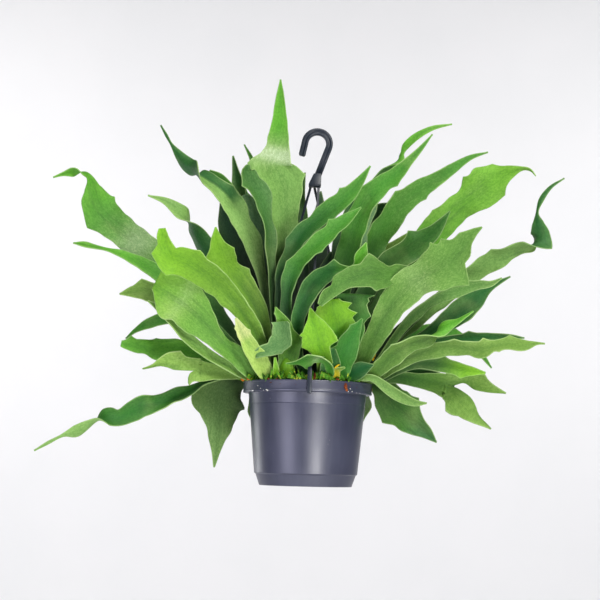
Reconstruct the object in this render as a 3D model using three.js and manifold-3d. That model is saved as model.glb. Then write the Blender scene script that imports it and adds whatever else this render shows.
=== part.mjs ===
// A staghorn fern growing in a moulded hanging pot.
//
// Millimetres, +Z up, -Y towards the front. The model is drawn about the pot's axis with Z = 0 under the
// pot, and the whole group is then moved so that the seat of the hook, where it hangs, is the origin.
//
// Every frond is drawn on a front elevation: its stations give where the midrib is seen from a standpoint
// 1.7 m in front of the plant, and how far the blade lies behind (+) or before (-) the pot's axis there.
import * as THREE from 'three';
import { mergeVertices } from 'three/addons/utils/BufferGeometryUtils.js';
import Module from 'manifold-3d';

const wasm = await Module();
wasm.setup();

// ---------------------------------------------------------------- driving dimensions

const RIM_R = 75;              // outside of the rim band
const RIM_Z = 119;             // top of the pot
const BAND_H = 13;             // height of the rim band
const WALL_TOP_R = 68.5;       // outside of the wall, just under the band
const STEP_Z = 14;             // height of the step above the foot
const WALL_LOW_R = 59.7;       // outside of the wall, just above the step
const FOOT_TOP_R = 58;         // outside of the foot, just under the step
const FOOT_R = 53.5;           // outside of the foot, on the ground
const WALL_T = 1.6;            // moulded wall
const FLOOR_T = 2.2;
const DRAIN_R = 4;             // drain holes in the floor
const DRAIN_RING = 36;
const DRAINS = 6;
const LIP = 0.8;               // bevel on the pot's edges
const POT_SIDES = 40;          // facets round the pot and the soil

const SOIL_Z = 117;            // top of the soil
const GAP = 0.35;              // clearance between touching pieces
const ROOT_DEPTH = 6;          // how deep a stalk stands in its hole
const ROOTED_BELOW = 128;      // a blade that starts lower than this stands in the soil
const HOLE_PLAY = 1.35;        // room on each side of a stalk in its hole
const SOIL_BEVEL = [6, 2];     // how far in and down the soil's edge falls

const HOOK_X = 4.5;            // centre of the hook's bend
const HOOK_Z = 403;
const HOOK_BEND_R = 14.5;      // to the middle of the bar
const HOOK_BAR = 8;            // width and depth of the bar
const HOOK_TIP = [-13.5, 388]; // end of the open leg
const BLOCK_X = 2.75;          // middle of the socket block
const BLOCK_TOP_Z = 367;
const BLOCK_Z = 351;           // underside of the block
const BLOCK_TOP = [9, 8];      // width and depth at the top
const BLOCK_LEAN = 3;          // how far its top stands to the right of its foot
const BLOCK_FOOT = [14.5, 11]; // and at the bottom
const BLOCK_BAND = 3;          // upright part of the block above its underside
const PIN_R = 1.1;             // pin hole through the block
const PIN_Z = BLOCK_Z + 3.5;
const GROOVE_HALF = 1.2;       // grooves in the front and back of the bar
const GROOVE_DEPTH = 1.6;
const BAR_BEVEL = 1.4;
const BEND_STEPS = 14;

const STRAND_W = 3;            // flat hanger strands
const STRAND_T = 2;
const CLIP_W = 5;              // where a strand clips over the rim band
const CLIP_TOP = 8;            // how far above the rim it widens
const TOE_GAP = 1.2;           // between the clip's toe and the wall
// Three strands. Azimuth in degrees, how far the clip sits to the side, and where it leaves the block.
const STRANDS = {
  front: [-90, 1.5, [4.4, -3.2]],
  right: [38, 0, [-0.3, 3.4]],
  left: [142, 0, [-5, 0.6]],
};
const SEAT_Z = HOOK_Z + HOOK_BEND_R - HOOK_BAR / 2;

const EYE_DISTANCE = 1700;     // standpoint of the elevation
const EYE_X = -11.4;
const EYE_Z = 27;

const ROW_STEP = 34;           // length of blade between two rows of vertices
const TWIST_STEP = 0.6;        // and the most that it turns between them, in radians
const COLUMNS = 5;             // vertices across a blade
const NARROW_COLUMNS = 3;      // and across one that is nowhere wide
const NARROW_HALF = 12.6;
const STALK_T = 1.7;           // thickness of a blade at its stalk
const TIP_T = 1.0;             // and at its tip
const LEAST_HALF = 0.8;        // narrowest half-width, at a tip
const RUFFLE = 1.6;            // height of the waves along the margins
const RUFFLE_LENGTH = 58;
const RUFFLE_LAG = 2.1;        // by how much the right margin's waves lag, in radians
const FULL_RUFFLE = 12;        // half-width from which the waves are at their full height
const EDGE_ON = 0.42;          // least share of its width that a turned blade is taken to show
const CROWN_SIDES = 14;        // facets round a crown
const CROWN_H = 8;             // its height above the soil
const SHOULDER = [0.75, 5];    // share of its radius, and height, where its side turns in

// ---------------------------------------------------------------- colours

const GREENS = {
  lime: 0x86b52c, bright: 0x63a336, mid: 0x4f8f3a, pale: 0x9cbf7a, felt: 0x84a765, grey: 0x5d8a68,
  olive: 0x6d8a45, moss: 0x5a7a45, dark: 0x2f6a35, deep: 0x235a33, cream: 0xd5dba6,
};
const SLATE = 0x565866;

const leafMaterial = (tone) =>
  new THREE.MeshStandardMaterial({ color: GREENS[tone], roughness: 0.55, metalness: 0 });
const plastic = () => new THREE.MeshStandardMaterial({ color: SLATE, roughness: 0.42, metalness: 0 });
const peat = () => new THREE.MeshStandardMaterial({ color: 0x3b2a1e, roughness: 0.95, metalness: 0 });

// ---------------------------------------------------------------- fronds, as drawn
//
// name: [tone, cup, [[x, z, y, half-width, turn, skew?], ...], left lobe, right lobe]
// cup lifts the margins towards the front, turn twists the blade about its midrib in degrees (90 is edge
// on), and skew widens the left half against the right.

const FRONDS = {
  frond_01: ['pale', 0.3, [
    [-34, 121, -8, 4, 0], [-45, 160, -9, 4, 0], [-50, 205, -10, 4, 0], [-58, 245, -12, 6, 10],
    [-71, 285, -15, 11, 15], [-88, 318, -19, 13, 20], [-106, 341, -22, 11, 25], [-126, 355, -26, 9, 50],
    [-139, 363, -28, 10, 95], [-150, 373, -27, 9, 145], [-167, 396, -22, 2, 165],
    [-175, 409, -18, 1.6, 170], [-182, 421, -14, 0.6, 170],
  ]],
  frond_02: ['mid', 0.2, [
    [-24, 121, 20, 4, 0], [-38, 180, 20, 4, 0], [-52, 240, 19, 5, -15], [-68, 295, 18, 7, -20],
    [-84, 325, 16, 8, -25], [-99, 346, 12, 7, -25], [-112, 360, 7, 6, -25], [-122, 368, 3, 1, -20],
  ]],
  frond_03: ['grey', -0.25, [
    [-48, 121, 14, 4, 0], [-64, 140, 16, 5, 10], [-87, 172, 14, 7, 15], [-113, 203, 10, 11, 20],
    [-145, 232, 4, 13, 20], [-176, 256, -4, 15, 20], [-205, 281, -12, 19, 15], [-231, 301, -20, 18, 10],
    [-251, 320, -28, 20, 0], [-259, 341, -34, 12, 10], [-266, 358, -38, 3.5, 40],
    [-280, 363, -42, 4, 120], [-294, 360, -46, 2.6, 150], [-307, 355, -50, 0.5, 160],
  ]],
  frond_04: ['mid', 0.25, [
    [-50, 121, -2, 3.5, 0], [-68, 138, -7, 4, 10], [-96, 168, -15, 5, 20], [-135, 204, -21, 7, 25],
    [-170, 236, -26, 9, 25], [-195, 252, -28, 8, 30], [-218, 263, -30, 4.5, 40],
    [-242, 270, -30, 2.5, 50], [-265, 275, -28, 3, 40], [-280, 277, -26, 0.5, 30],
  ]],
  frond_05: ['lime', 0.15, [
    [-45, 121, -25, 4.5, 0], [-50, 145, -32, 6, 0], [-62, 176, -46, 9, -10], [-80, 203, -62, 12, -15],
    [-101, 227, -78, 14.5, -15], [-126, 247, -94, 18, -10], [-150, 260, -106, 20, -5],
    [-166, 266, -113, 16, 0, 0.1], [-174, 280, -118, 10, 0], [-176, 297, -120, 4, 0],
  ]],
  frond_06: ['mid', 0.15, [
    [-56, 124, -30, 5, 0], [-67, 130, -39, 7.5, 10], [-84, 149, -48, 11, 15], [-104, 169, -57, 15, 15],
    [-126, 191, -65, 22, 10], [-147, 208, -73, 27.5, 5], [-165, 219, -81, 27, 0],
    [-177, 225, -84, 21, 0], [-184, 228, -86, 13, 0],
  ]],
  frond_07: ['mid', 0.2, [
    [-40, 121, -14, 4, 0], [-46, 158, -25, 6, 15], [-55, 188, -33, 9, 20], [-67, 214, -39, 12, 20],
    [-84, 237, -46, 14.5, 15], [-101, 258, -55, 17.5, 10, 0.1], [-110, 278, -60, 10, 5],
    [-113, 300, -64, 0.8, 0],
  ]],
  frond_08: ['dark', -0.3, [
    [-36, 121, 28, 4, 0], [-56, 170, 22, 4.5, -10], [-80, 215, 16, 6, -20], [-103, 250, 10, 8, -30],
    [-124, 275, 4, 10, -35], [-137, 293, -2, 8, -40], [-148, 308, -8, 5, -110],
    [-159, 320, -14, 8, -165], [-174, 330, -20, 4, -170], [-194, 336, -26, 0.5, -170],
  ]],
  frond_09: ['olive', 0.2, [
    [-56, 121, -10, 4, 0], [-76, 134, -17, 4.5, 10], [-104, 160, -28, 6, 15], [-136, 188, -39, 9, 20],
    [-166, 211, -48, 12, 20], [-190, 221, -53, 11, 15], [-207, 221, -56, 7, 10],
    [-223, 218, -58, 0.6, 0],
  ]],
  frond_10: ['bright', 0.3, [
    [-59, 124, -22, 3.5, 0], [-72, 125, -32, 4, 20], [-95, 137, -44, 5, 30], [-120, 151, -54, 5.5, 30],
    [-143, 169, -62, 6, 30], [-161, 187, -68, 5, 30], [-178, 203, -72, 3, 30], [-190, 211, -74, 0.5, 30],
  ]],
  frond_11: ['bright', -0.2, [
    [-60, 121, 12, 4, 0], [-77, 126, 16, 5, 20], [-99, 136, 12, 6, 25], [-122, 148, 4, 8, 25],
    [-146, 155, -4, 10.5, 20], [-172, 154, -12, 12.5, 15], [-198, 157, -18, 8.5, 10],
    [-214, 159, -21, 5, 5], [-219, 160, -22, 3.5, 0],
  ]],
  frond_12: ['pale', 0.15, [
    [-62, 124, -16, 3.5, 0], [-77, 125, -20, 3, 20], [-95, 126, -26, 5, 25], [-110, 129, -31, 9, 20],
    [-126, 130, -37, 13, 15],
  ], [
    [-134, 122, -40, 7.5, 5], [-137, 111, -43, 1, 0],
  ], [
    [-143, 138, -41, 8, 15], [-158, 141, -45, 9.5, 20], [-171, 139, -47, 5, 30], [-180, 135, -49, 2, 40],
    [-193, 131, -51, 0.6, 50],
  ]],
  frond_13: ['dark', 0.3, [
    [-57, 121, 26, 3.5, 0], [-78, 125, 24, 3, 60], [-100, 122, 18, 2.5, 68], [-122, 114, 10, 3, 65],
    [-148, 101, 2, 6, 50], [-172, 92, -6, 9, 30], [-195, 85, -14, 12, 10], [-217, 73, -20, 9.5, 20],
    [-234, 72, -24, 8.5, 50], [-248, 67, -26, 3.5, 120], [-267, 56, -28, 7, 165],
    [-283, 51, -28, 1.6, 150], [-300, 42, -26, 1.8, 170], [-315, 33, -24, 0.5, 180],
  ]],
  frond_14: ['moss', -0.2, [
    [-46, 124, 42, 5, 0], [-66, 122, 41, 6, 0], [-83, 119, 38, 10, 0], [-95, 110, 35, 24, 0],
    [-101, 95, 32, 33, 0], [-102, 79, 30, 23, 0], [-103, 60, 28, 14, 0], [-104, 40, 26, 6, 0],
    [-106, 19, 24, 0.8, 0],
  ]],
  frond_15: ['felt', 0.3, [
    [-22, 121, -6, 4, 0], [-34, 165, -8, 4, 0], [-39, 210, -9, 4, 0], [-37, 250, -10, 5.5, 5],
    [-33, 290, -13, 14, 10], [-33, 318, -16, 17, 10], [-35, 340, -18, 21, 8], [-40, 357, -20, 27, 4],
    [-47, 373, -21, 26, 0], [-45, 388, -22, 17.5, 0], [-42, 408, -23, 13, 0], [-41, 432, -25, 8.5, 0],
    [-41, 458, -27, 5, 0], [-41, 480, -28, 0.6, 0],
  ]],
  frond_16: ['dark', 0.4, [
    [-28, 121, -18, 4, 0], [-40, 180, -22, 4, 10], [-46, 240, -26, 5, 20], [-50, 288, -30, 8, 25],
    [-56, 318, -33, 9, 25], [-63, 341, -36, 12, 15], [-73, 358, -40, 13, 5], [-79, 368, -44, 8, 0],
    [-77, 376, -48, 2.5, 0],
  ]],
  frond_17: ['deep', 0.2, [
    [-20, 121, 36, 4, 0], [-42, 180, 30, 5, 0], [-62, 225, 26, 8, -10], [-80, 262, 22, 14, -20],
    [-96, 296, 18, 13, -20], [-108, 329, 14, 1, -10],
  ]],
  frond_18: ['dark', 0.3, [
    [-12, 121, 24, 4, 0], [-36, 200, 26, 5, -10], [-54, 260, 28, 6, -20], [-70, 300, 30, 8, -20],
    [-84, 335, 32, 9, -25], [-89, 358, 33, 6, -20], [-95, 386, 34, 0.8, -10],
  ]],
  frond_19: ['mid', 0.3, [
    [-4, 121, 38, 3.5, 0], [-26, 200, 42, 5, 0], [-44, 270, 46, 6, -15], [-58, 330, 50, 6, -20],
    [-70, 376, 53, 3, -10], [-82, 400, 55, 0.5, 0],
  ]],
  frond_20: ['grey', 0.35, [
    [-26, 121, 11, 4, 0], [-38, 168, 11, 6, 0], [-45, 210, 11, 8, -10], [-52, 250, 10, 11, -15],
    [-61, 290, 8, 13, -15], [-71, 320, 5, 13, -10], [-79, 340, 2, 4, 0],
  ]],
  frond_21: ['dark', 0.35, [
    [-14, 121, -16, 4, 0], [-27, 160, -24, 5, -20], [-33, 205, -30, 6, -35], [-31, 240, -35, 7, -40],
    [-24, 268, -39, 8, -40], [-10, 294, -42, 9, -35], [10, 314, -44, 10, -30], [32, 332, -46, 10, -25],
    [50, 351, -48, 7, -20], [68, 378, -50, 0.6, 0],
  ]],
  frond_22: ['mid', 0.4, [
    [-8, 121, -28, 4, 0], [-20, 150, -31, 5, -20], [-26, 190, -36, 6, -35], [-25, 225, -45, 7, -40],
    [-18, 252, -52, 8, -40], [-2, 274, -57, 9, -35], [18, 292, -61, 9, -30], [38, 310, -63, 7, -30],
    [58, 328, -65, 0.6, -20],
  ]],
  frond_23: ['mid', 0.35, [
    [2, 121, -34, 4.5, 0], [-12, 150, -44, 6, -10], [-13, 190, -54, 7, -25], [-6, 215, -60, 9, -30],
    [6, 236, -66, 10, -30], [20, 250, -70, 10, -25], [36, 254, -73, 5, -20], [49, 257, -76, 2.2, 0],
    [58, 269, -79, 8, 0], [65, 286, -82, 1, 0],
  ]],
  frond_24: ['mid', 0.3, [
    [10, 121, -12, 4, 0], [24, 160, -14, 6, -10], [35, 210, -17, 9, -15], [43, 260, -20, 14, -20],
    [51, 300, -24, 13, -20], [63, 332, -28, 13, -15], [81, 354, -31, 11, -10], [98, 368, -34, 9, -5],
    [112, 383, -36, 5.5, 0], [127, 400, -38, 3, 0], [141, 418, -40, 0.5, 0],
  ]],
  frond_25: ['grey', 0.35, [
    [18, 121, 16, 4, 0], [30, 170, 15, 6, 10], [43, 230, 13, 8, 20], [55, 290, 8, 9, 25],
    [66, 335, 2, 9, 30], [75, 359, -4, 7, 40], [89, 375, -8, 6, 55], [101, 386, -11, 4, 100],
    [105, 394, -12, 2, 140], [110, 404, -13, 4, 170], [123, 416, -14, 4, 175], [142, 426, -15, 2.5, 180],
    [164, 431, -16, 0.5, 180],
  ]],
  frond_26: ['mid', 0.3, [
    [28, 121, 21, 4, 0], [38, 160, 23, 6, 10], [48, 210, 23, 9, 15], [62, 255, 23, 12, 20],
    [79, 295, 21, 14, 20], [98, 325, 17, 14, 15], [120, 347, 12, 12, 10], [142, 361, 7, 9, 5],
    [165, 377, 2, 6, 0], [186, 391, -2, 3, 0], [207, 398, -5, 0.5, 0],
  ]],
  frond_27: ['mid', -0.2, [
    [42, 121, 14, 4.5, 0], [56, 150, 17, 6, 10], [72, 190, 20, 9, 15], [90, 230, 22, 11, 20],
    [118, 268, 23, 14, 20], [147, 302, 22, 17, 15], [170, 328, 18, 16, 10], [191, 345, 13, 20, 5],
    [208, 358, 8, 23, 0, 0.1], [227, 372, 2, 11, 0], [246, 379, -4, 3, 30], [257, 378, -8, 1.8, 50],
    [264, 371, -12, 0.5, 60],
  ]],
  frond_28: ['mid', 0.25, [
    [52, 121, 19.5, 4, 0], [68, 140, 23, 4.5, 10], [97, 170, 21, 6, 20], [131, 201, 14, 8, 25],
    [165, 232, 8, 9, 30], [192, 254, 2, 10, 25], [215, 269, -4, 11, 20], [238, 279, -10, 10, 30],
    [257, 286, -14, 7, 70], [268, 298, -18, 11, 150], [267, 313, -20, 7, 165], [266, 327, -21, 1.6, 140],
    [271, 343, -22, 3, 170], [282, 358, -24, 2, 180], [298, 369, -26, 0.5, 180],
  ]],
  frond_30: ['mid', 0.25, [
    [58, 121, -10, 3.5, 0], [80, 143, -20, 4, 20], [103, 178, -26, 4.5, 30], [124, 203, -30, 5.5, 35],
    [148, 221, -34, 6, 30], [174, 232, -37, 6.5, 20], [196, 239, -40, 5.5, 15], [212, 241, -42, 3.4, 10],
    [225, 248, -44, 0.5, 0],
  ]],
  frond_31: ['mid', 0.25, [
    [56, 124, -34, 4, 0], [76, 132, -48, 7, 10], [95, 151, -58, 11, 15], [117, 166, -66, 9, 25],
    [141, 176, -71, 5, 60], [159, 189, -74, 6, 140], [174, 196, -76, 3, 150], [192, 208, -78, 0.5, 150],
  ]],
  frond_32: ['mid', 0.3, [
    [62, 124, -22, 4, 0], [81, 128, -32, 5, 15], [103, 143, -42, 6, 20], [129, 156, -50, 8, 20],
    [158, 164, -57, 9, 15], [185, 164, -62, 9.5, 10], [202, 163, -65, 10, 0], [218, 168, -68, 6, -20],
    [235, 170, -70, 6.5, -30], [252, 169, -72, 6, -20], [266, 172, -73, 2, 0], [276, 172, -74, 0.6, 0],
  ]],
  frond_33: ['dark', 0.3, [
    [62, 121, 6, 4, 0], [80, 132, 8, 6, 20], [110, 152, 3, 7, 25], [146, 167, -4, 8, 25],
    [182, 175, -10, 7, 20], [214, 178, -16, 5, 10], [236, 179, -20, 3, 10], [252, 178, -23, 0.5, 0],
  ]],
  frond_34: ['bright', 0.25, [
    [66, 124, -17, 3.5, 0], [84, 126, -25, 4, 20], [107, 138, -32, 4.5, 25], [132, 145, -37, 5.5, 25],
    [158, 144, -41, 8, 15], [183, 139, -45, 7, 10], [207, 136, -48, 1, 0],
  ]],
  frond_35: ['mid', 0.15, [
    [56, 121, 28, 4, 0], [80, 126, 24, 5, 10], [107, 128, 17, 7, 15], [134, 125, 8, 9, 15],
    [160, 121, -1, 14, 10],
  ], [
    [182, 129, -6, 7.5, 5], [200, 124, -11, 9, 0], [215, 118, -15, 5, 0], [231, 113, -18, 0.6, 0],
  ], [
    [169, 104, -5, 14, 0], [188, 92, -10, 12, 0], [214, 71, -15, 0.6, 0],
  ]],
  frond_36: ['mid', 0.2, [
    [46, 121, 42, 5, 0], [68, 127, 40, 7, 0], [86, 117, 36, 13, 0], [101, 98, 32, 20, 0],
    [119, 82, 28, 18, 0], [137, 67, 24, 9, 0], [151, 54, 20, 0.6, 0],
  ]],
  frond_37: ['bright', 0.25, [
    [52, 124, -42, 3, 0], [74, 127, -51, 4, 0], [95, 114, -50, 6, 0], [112, 104, -47, 6, 0],
    [126, 99, -44, 4, 0], [139, 99, -41, 0.6, 0],
  ]],
  frond_38: ['dark', 0.25, [
    [36, 121, 33, 4, 0], [66, 128, 30, 6, 10], [100, 133, 25, 8, 20], [130, 131, 19, 9, 20],
    [154, 126, 13, 9, 10], [171, 120, 8, 1.5, 0],
  ]],
  frond_39: ['mid', 0.25, [
    [34, 121, -8, 4.5, 0], [44, 160, -11, 6, 0], [56, 205, -13, 9, 0], [76, 243, -15, 12, 5],
    [101, 269, -17, 15, 5], [125, 286, -19, 14, 0], [146, 303, -21, 8, 0], [163, 326, -23, 0.6, 0],
  ]],
  frond_40: ['olive', 0.2, [
    [24, 121, 26, 4, 0], [38, 180, 28.5, 5.5, 0], [58, 235, 28.5, 9, 10], [78, 268, 30, 9, 15],
    [98, 283, 29, 6, 10], [115, 299, 28, 0.8, 0],
  ]],
  frond_41: ['deep', 0.3, [
    [8, 121, 30, 4, 0], [27, 200, 34, 6, 10], [45, 260, 36, 8, 15], [61, 300, 36, 8, 15],
    [77, 325, 34, 7, 10], [95, 334, 32, 0.6, 0],
  ]],
  frond_42: ['dark', 0.3, [
    [-2, 121, 14, 4, 0], [-6, 200, 19, 6, 0], [-9, 260, 22, 7, 10], [-11, 310, 23, 7, 10],
    [-13, 340, 23, 5, 0], [-9, 368, 23, 0.6, 0],
  ]],
  frond_43: ['deep', 0.3, [
    [8, 121, 10, 3.5, 0], [8, 180, 8, 5, 0], [12, 225, 4, 7, 0], [17, 250, 0, 8, 0],
    [24, 274, -6, 1.5, 0],
  ]],
  frond_44: ['deep', 0.25, [
    [52, 121, -4, 4, 0], [70, 142, -8, 6, 0], [92, 168, -10, 7, 10], [114, 190, -12, 6, 10],
    [135, 205, -14, 1, 0],
  ]],
  frond_45: ['dark', 0.25, [
    [55, 121, 14, 4, 0], [74, 136, 17, 5, 10], [104, 156, 17, 6, 15], [133, 174, 14, 8, 15],
    [158, 192, 9, 11, 10], [177, 208, 5, 14, 5], [194, 222, 1, 12, 0], [210, 236, -3, 5, 0],
    [235, 250, -8, 0.6, 0],
  ]],
};

// Blades that are one solid: a broad frond with a wing on its left (its stalk comes first), the small
// fronds that share a crown in the middle of the pot, and the sprays behind it.
const CLUMPS = {
  frond_29: {
    tone: 'felt', crown: null, blades: [
      ['felt', 0.12, [
        [46, 121, -24, 5, 0], [60, 142, -36, 8, -10], [76, 172, -48, 12, -10], [90, 200, -58, 15, -5],
        [106, 226, -66, 19, 0], [130, 247, -72, 21, 0], [157, 262, -78, 27, 0], [172, 277, -82, 19, 0],
        [188, 298, -88, 7, 0], [201, 308, -92, 0.8, 0],
      ]],
      ['felt', 0.12, [
        [122, 247, -60, 10, 0], [104, 248, -65.5, 15, 0], [88, 248, -74, 16.5, 0], [70, 250, -83, 17, 0],
        [50, 244, -89, 13, 5], [33, 236, -94, 10.5, 10], [20, 223, -98, 7.5, 10], [12, 211, -101, 3, 10],
      ]],
    ],
  },
  young_fronds_left: {
    tone: 'bright', crown: [-37, -41, 14], blades: [
      ['bright', 0.2, [
        [-29, 121, -34, 4, 0], [-26, 138, -42, 9, 0], [-23, 155, -49, 12.5, 0], [-23, 170, -53, 12.5, 0],
        [-30, 188, -57, 8, 0], [-40, 207, -60, 0.8, 0],
      ]],
      ['lime', -0.7, [
        [-31, 121, -44, 5, 0], [-27, 128, -49, 9, 0], [-27, 138, -50, 8.5, 0], [-27, 148, -46, 3, 0],
      ]],
      ['pale', 0.25, [
        [-44, 121, -43, 6, 0], [-52, 135, -49, 10, 0], [-61, 150, -56, 11, 0], [-70, 163, -61, 9, 0],
        [-77, 175, -65, 7.5, 0], [-86, 193, -69, 1.2, 0],
      ]],
      ['grey', 0.3, [
        [-62, 151, -56, 4.5, 0], [-51, 156, -60, 7, 0], [-41, 160, -62, 9.5, 0], [-33, 169, -64, 12, 0],
        [-32, 180, -65, 11, 0], [-33, 190, -66, 8, 0],
      ]],
      ['lime', 0.2, [
        [-38, 121, -46, 3, 0], [-37, 130, -54, 4, 0], [-39, 148, -58, 1, 0],
      ]],
    ],
  },
  young_fronds_right: {
    tone: 'bright', crown: [29, -45, 16], blades: [
      ['lime', 0.12, [
        [20, 121, -45, 6, 0], [20, 135, -58, 9, 0], [18, 149, -71, 9.5, 0], [13, 161, -77, 13.5, 0],
        [11, 171, -80, 20, 0], [8, 183, -82, 15, 0], [4, 195, -83, 7.5, 0], [1, 207, -83, 0.8, 0],
      ]],
      ['bright', 0.15, [
        [27, 121, -38, 5, 0], [32, 145, -48, 7, 0], [35, 165, -55, 11, 0], [33, 182, -61, 17, 0],
        [30, 199, -66, 23, 0], [28, 211, -68, 18, 0], [27, 218, -69, 9, 0],
      ]],
      ['mid', 0.25, [
        [38, 121, -34, 4, 0], [44, 150, -42, 8, 0], [50, 178, -50, 13, 0], [52, 200, -56, 17, 0],
        [50, 216, -60, 20, 0], [50, 225, -62, 19, 0],
      ]],
      ['mid', 0.2, [
        [34, 121, -46, 5, 0], [35, 132, -56, 13, 0], [40, 152, -64, 15, 0], [49, 173, -70, 11, 0],
        [62, 196, -74, 1, 0],
      ]],
      ['bright', 0.15, [
        [22, 121, -50, 3.5, 0], [26, 131, -66, 4.5, 0], [22, 143, -80, 7.5, 0], [11, 149, -86, 10, 0],
        [-3, 147, -89, 11, 0], [-15, 143, -90, 7.5, 0], [-26, 141, -89, 1, 0],
      ]],
      ['dark', 0.2, [
        [26, 121, -50, 6, 0], [25, 128, -62, 12, 0], [26, 145, -68, 11, 0], [29, 160, -72, 3, 0],
      ]],
      ['deep', 0.2, [
        [38, 121, -43, 4.5, 0], [50, 130, -50, 9, 0], [62, 137, -56, 9, 0], [76, 142, -60, 1, 0],
      ]],
      ['yellow', 0.2, [
        [34, 121, -51, 2.5, 0], [33, 128, -62, 4, 0], [34, 135, -68, 4, 0], [43, 138, -72, 1, 0],
      ]],
    ],
  },
  rear_fronds_left: {
    tone: 'dark', crown: [-32, 47, 10], blades: [
      ['dark', 0.2, [
        [-33, 121, 44, 4.5, 0], [-54, 160, 76, 7, 20], [-80, 205, 108, 12, 20], [-106, 238, 138, 16, 10],
      ], [
        [-129, 245, 152, 7, 0], [-146, 252, 164, 5, 0], [-160, 250, 172, 0.6, 0],
      ], [
        [-114, 263, 156, 7, 0], [-126, 276, 168, 5, 0], [-130, 284, 176, 0.6, 0],
      ]],
      ['mid', 0.25, [
        [-36, 121, 47, 4.5, 0], [-66, 150, 74, 6, -20], [-100, 176, 94, 9, -25],
        [-136, 190, 112, 13, -20], [-168, 190, 126, 12, -10], [-196, 180, 138, 6, 0],
        [-214, 166, 146, 0.6, 0],
      ]],
      ['mid', 0.2, [
        [-32, 121, 51, 4, 0], [-48, 131, 80, 6, 0], [-58, 124, 102, 10, 0], [-62, 104, 116, 13, 0],
        [-60, 78, 124, 8, 0], [-56, 48, 128, 0.8, 0],
      ]],
      ['dark', 0.25, [
        [-28, 121, 45, 4.5, 0], [-38, 180, 72, 7, 10], [-50, 240, 92, 10, 10], [-62, 288, 108, 12, 0],
        [-72, 320, 118, 7, 0], [-80, 348, 124, 0.8, 0],
      ]],
      ['deep', 0.2, [
        [-34, 121, 43, 5, 0], [-50, 158, 66, 10, 0], [-68, 195, 84, 12.5, 0], [-84, 228, 98, 12.5, 0],
        [-96, 262, 108, 0.8, 0],
      ]],
    ],
  },
  rear_fronds_middle: {
    tone: 'dark', crown: [-11, 56, 8], blades: [
      ['dark', 0.2, [
        [-12, 121, 54, 4.5, 0], [-18, 175, 84, 7, 10], [-24, 235, 108, 11, 10], [-26, 280, 124, 13, 0],
        [-26, 314, 134, 8, 0], [-24, 344, 140, 0.8, 0],
      ]],
      ['mid', 0.2, [
        [-12, 121, 58, 4.5, 0], [-14, 132, 88, 6, 0], [-14, 124, 114, 11, 0], [-16, 102, 132, 16, 0],
      ], [
        [-30, 82, 140, 8, 0], [-38, 60, 144, 5, 0], [-44, 36, 146, 0.6, 0],
      ], [
        [-6, 80, 140, 8, 0], [2, 58, 144, 5, 0], [8, 34, 146, 0.6, 0],
      ]],
      ['mid', 0.25, [
        [-9, 121, 57, 4, 0], [-14, 150, 92, 6, 0], [-20, 180, 122, 11, 0], [-24, 196, 150, 13, 0],
        [-28, 198, 176, 8, 0], [-32, 190, 198, 0.8, 0],
      ]],
      ['deep', 0.2, [
        [-10, 121, 56, 4, 0], [-8, 150, 74, 7, 0], [-2, 180, 88, 11, 0], [4, 222, 104, 12.5, 0],
        [8, 270, 117, 12.5, 0], [10, 310, 124, 9, 0], [10, 346, 130, 0.8, 0],
      ]],
    ],
  },
  rear_fronds_right: {
    tone: 'dark', crown: [31, 48, 11], blades: [
      ['dark', 0.2, [
        [30, 121, 45, 4.5, 0], [44, 165, 82, 7, -20], [66, 212, 114, 12, -20], [90, 248, 144, 16, -10],
      ], [
        [92, 269, 158, 7, 0], [108, 284, 170, 5, 0], [120, 296, 178, 0.6, 0],
      ], [
        [114, 257, 158, 7, 0], [134, 262, 170, 6, 0], [152, 266, 178, 0.6, 0],
      ]],
      ['mid', 0.25, [
        [36, 121, 48, 4.5, 0], [68, 146, 74, 6, 20], [104, 168, 94, 9, 25], [140, 178, 112, 13, 20],
        [172, 174, 126, 11, 10], [198, 160, 138, 5, 0], [214, 142, 146, 0.6, 0],
      ]],
      ['mid', 0.2, [
        [34, 121, 53, 4, 0], [52, 131, 82, 6, 0], [62, 124, 104, 10, 0], [66, 104, 118, 13, 0],
        [62, 76, 126, 8, 0], [56, 46, 130, 0.8, 0],
      ]],
      ['dark', 0.25, [
        [26, 121, 47, 4.5, 0], [26, 180, 76, 7, -10], [32, 240, 98, 11, -10], [38, 286, 114, 12, 0],
        [44, 318, 124, 7, 0], [52, 346, 130, 0.8, 0],
      ]],
      ['deep', 0.2, [
        [34, 121, 44, 5, 0], [46, 160, 66, 10, 0], [62, 200, 84, 12.5, 0], [84, 232, 98, 12, 0],
        [108, 262, 108, 0.8, 0],
      ]],
    ],
  },
};

// ---------------------------------------------------------------- solids

// A THREE geometry as a solid, for joining and cutting.
function solid(geometry) {
  const bare = geometry.clone();
  bare.deleteAttribute('normal');
  bare.deleteAttribute('uv');
  const merged = mergeVertices(bare, 1e-4);
  return new wasm.Manifold(new wasm.Mesh({
    numProp: 3,
    vertProperties: new Float32Array(merged.attributes.position.array),
    triVerts: new Uint32Array(merged.index.array),
  }));
}

// The solid as a THREE geometry again.
function geometryOf(manifold) {
  const mesh = manifold.getMesh();
  const geometry = new THREE.BufferGeometry();
  geometry.setAttribute('position', new THREE.BufferAttribute(new Float32Array(mesh.vertProperties), 3));
  geometry.setIndex(new THREE.BufferAttribute(new Uint32Array(mesh.triVerts), 1));
  geometry.computeVertexNormals();
  return geometry;
}

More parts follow.
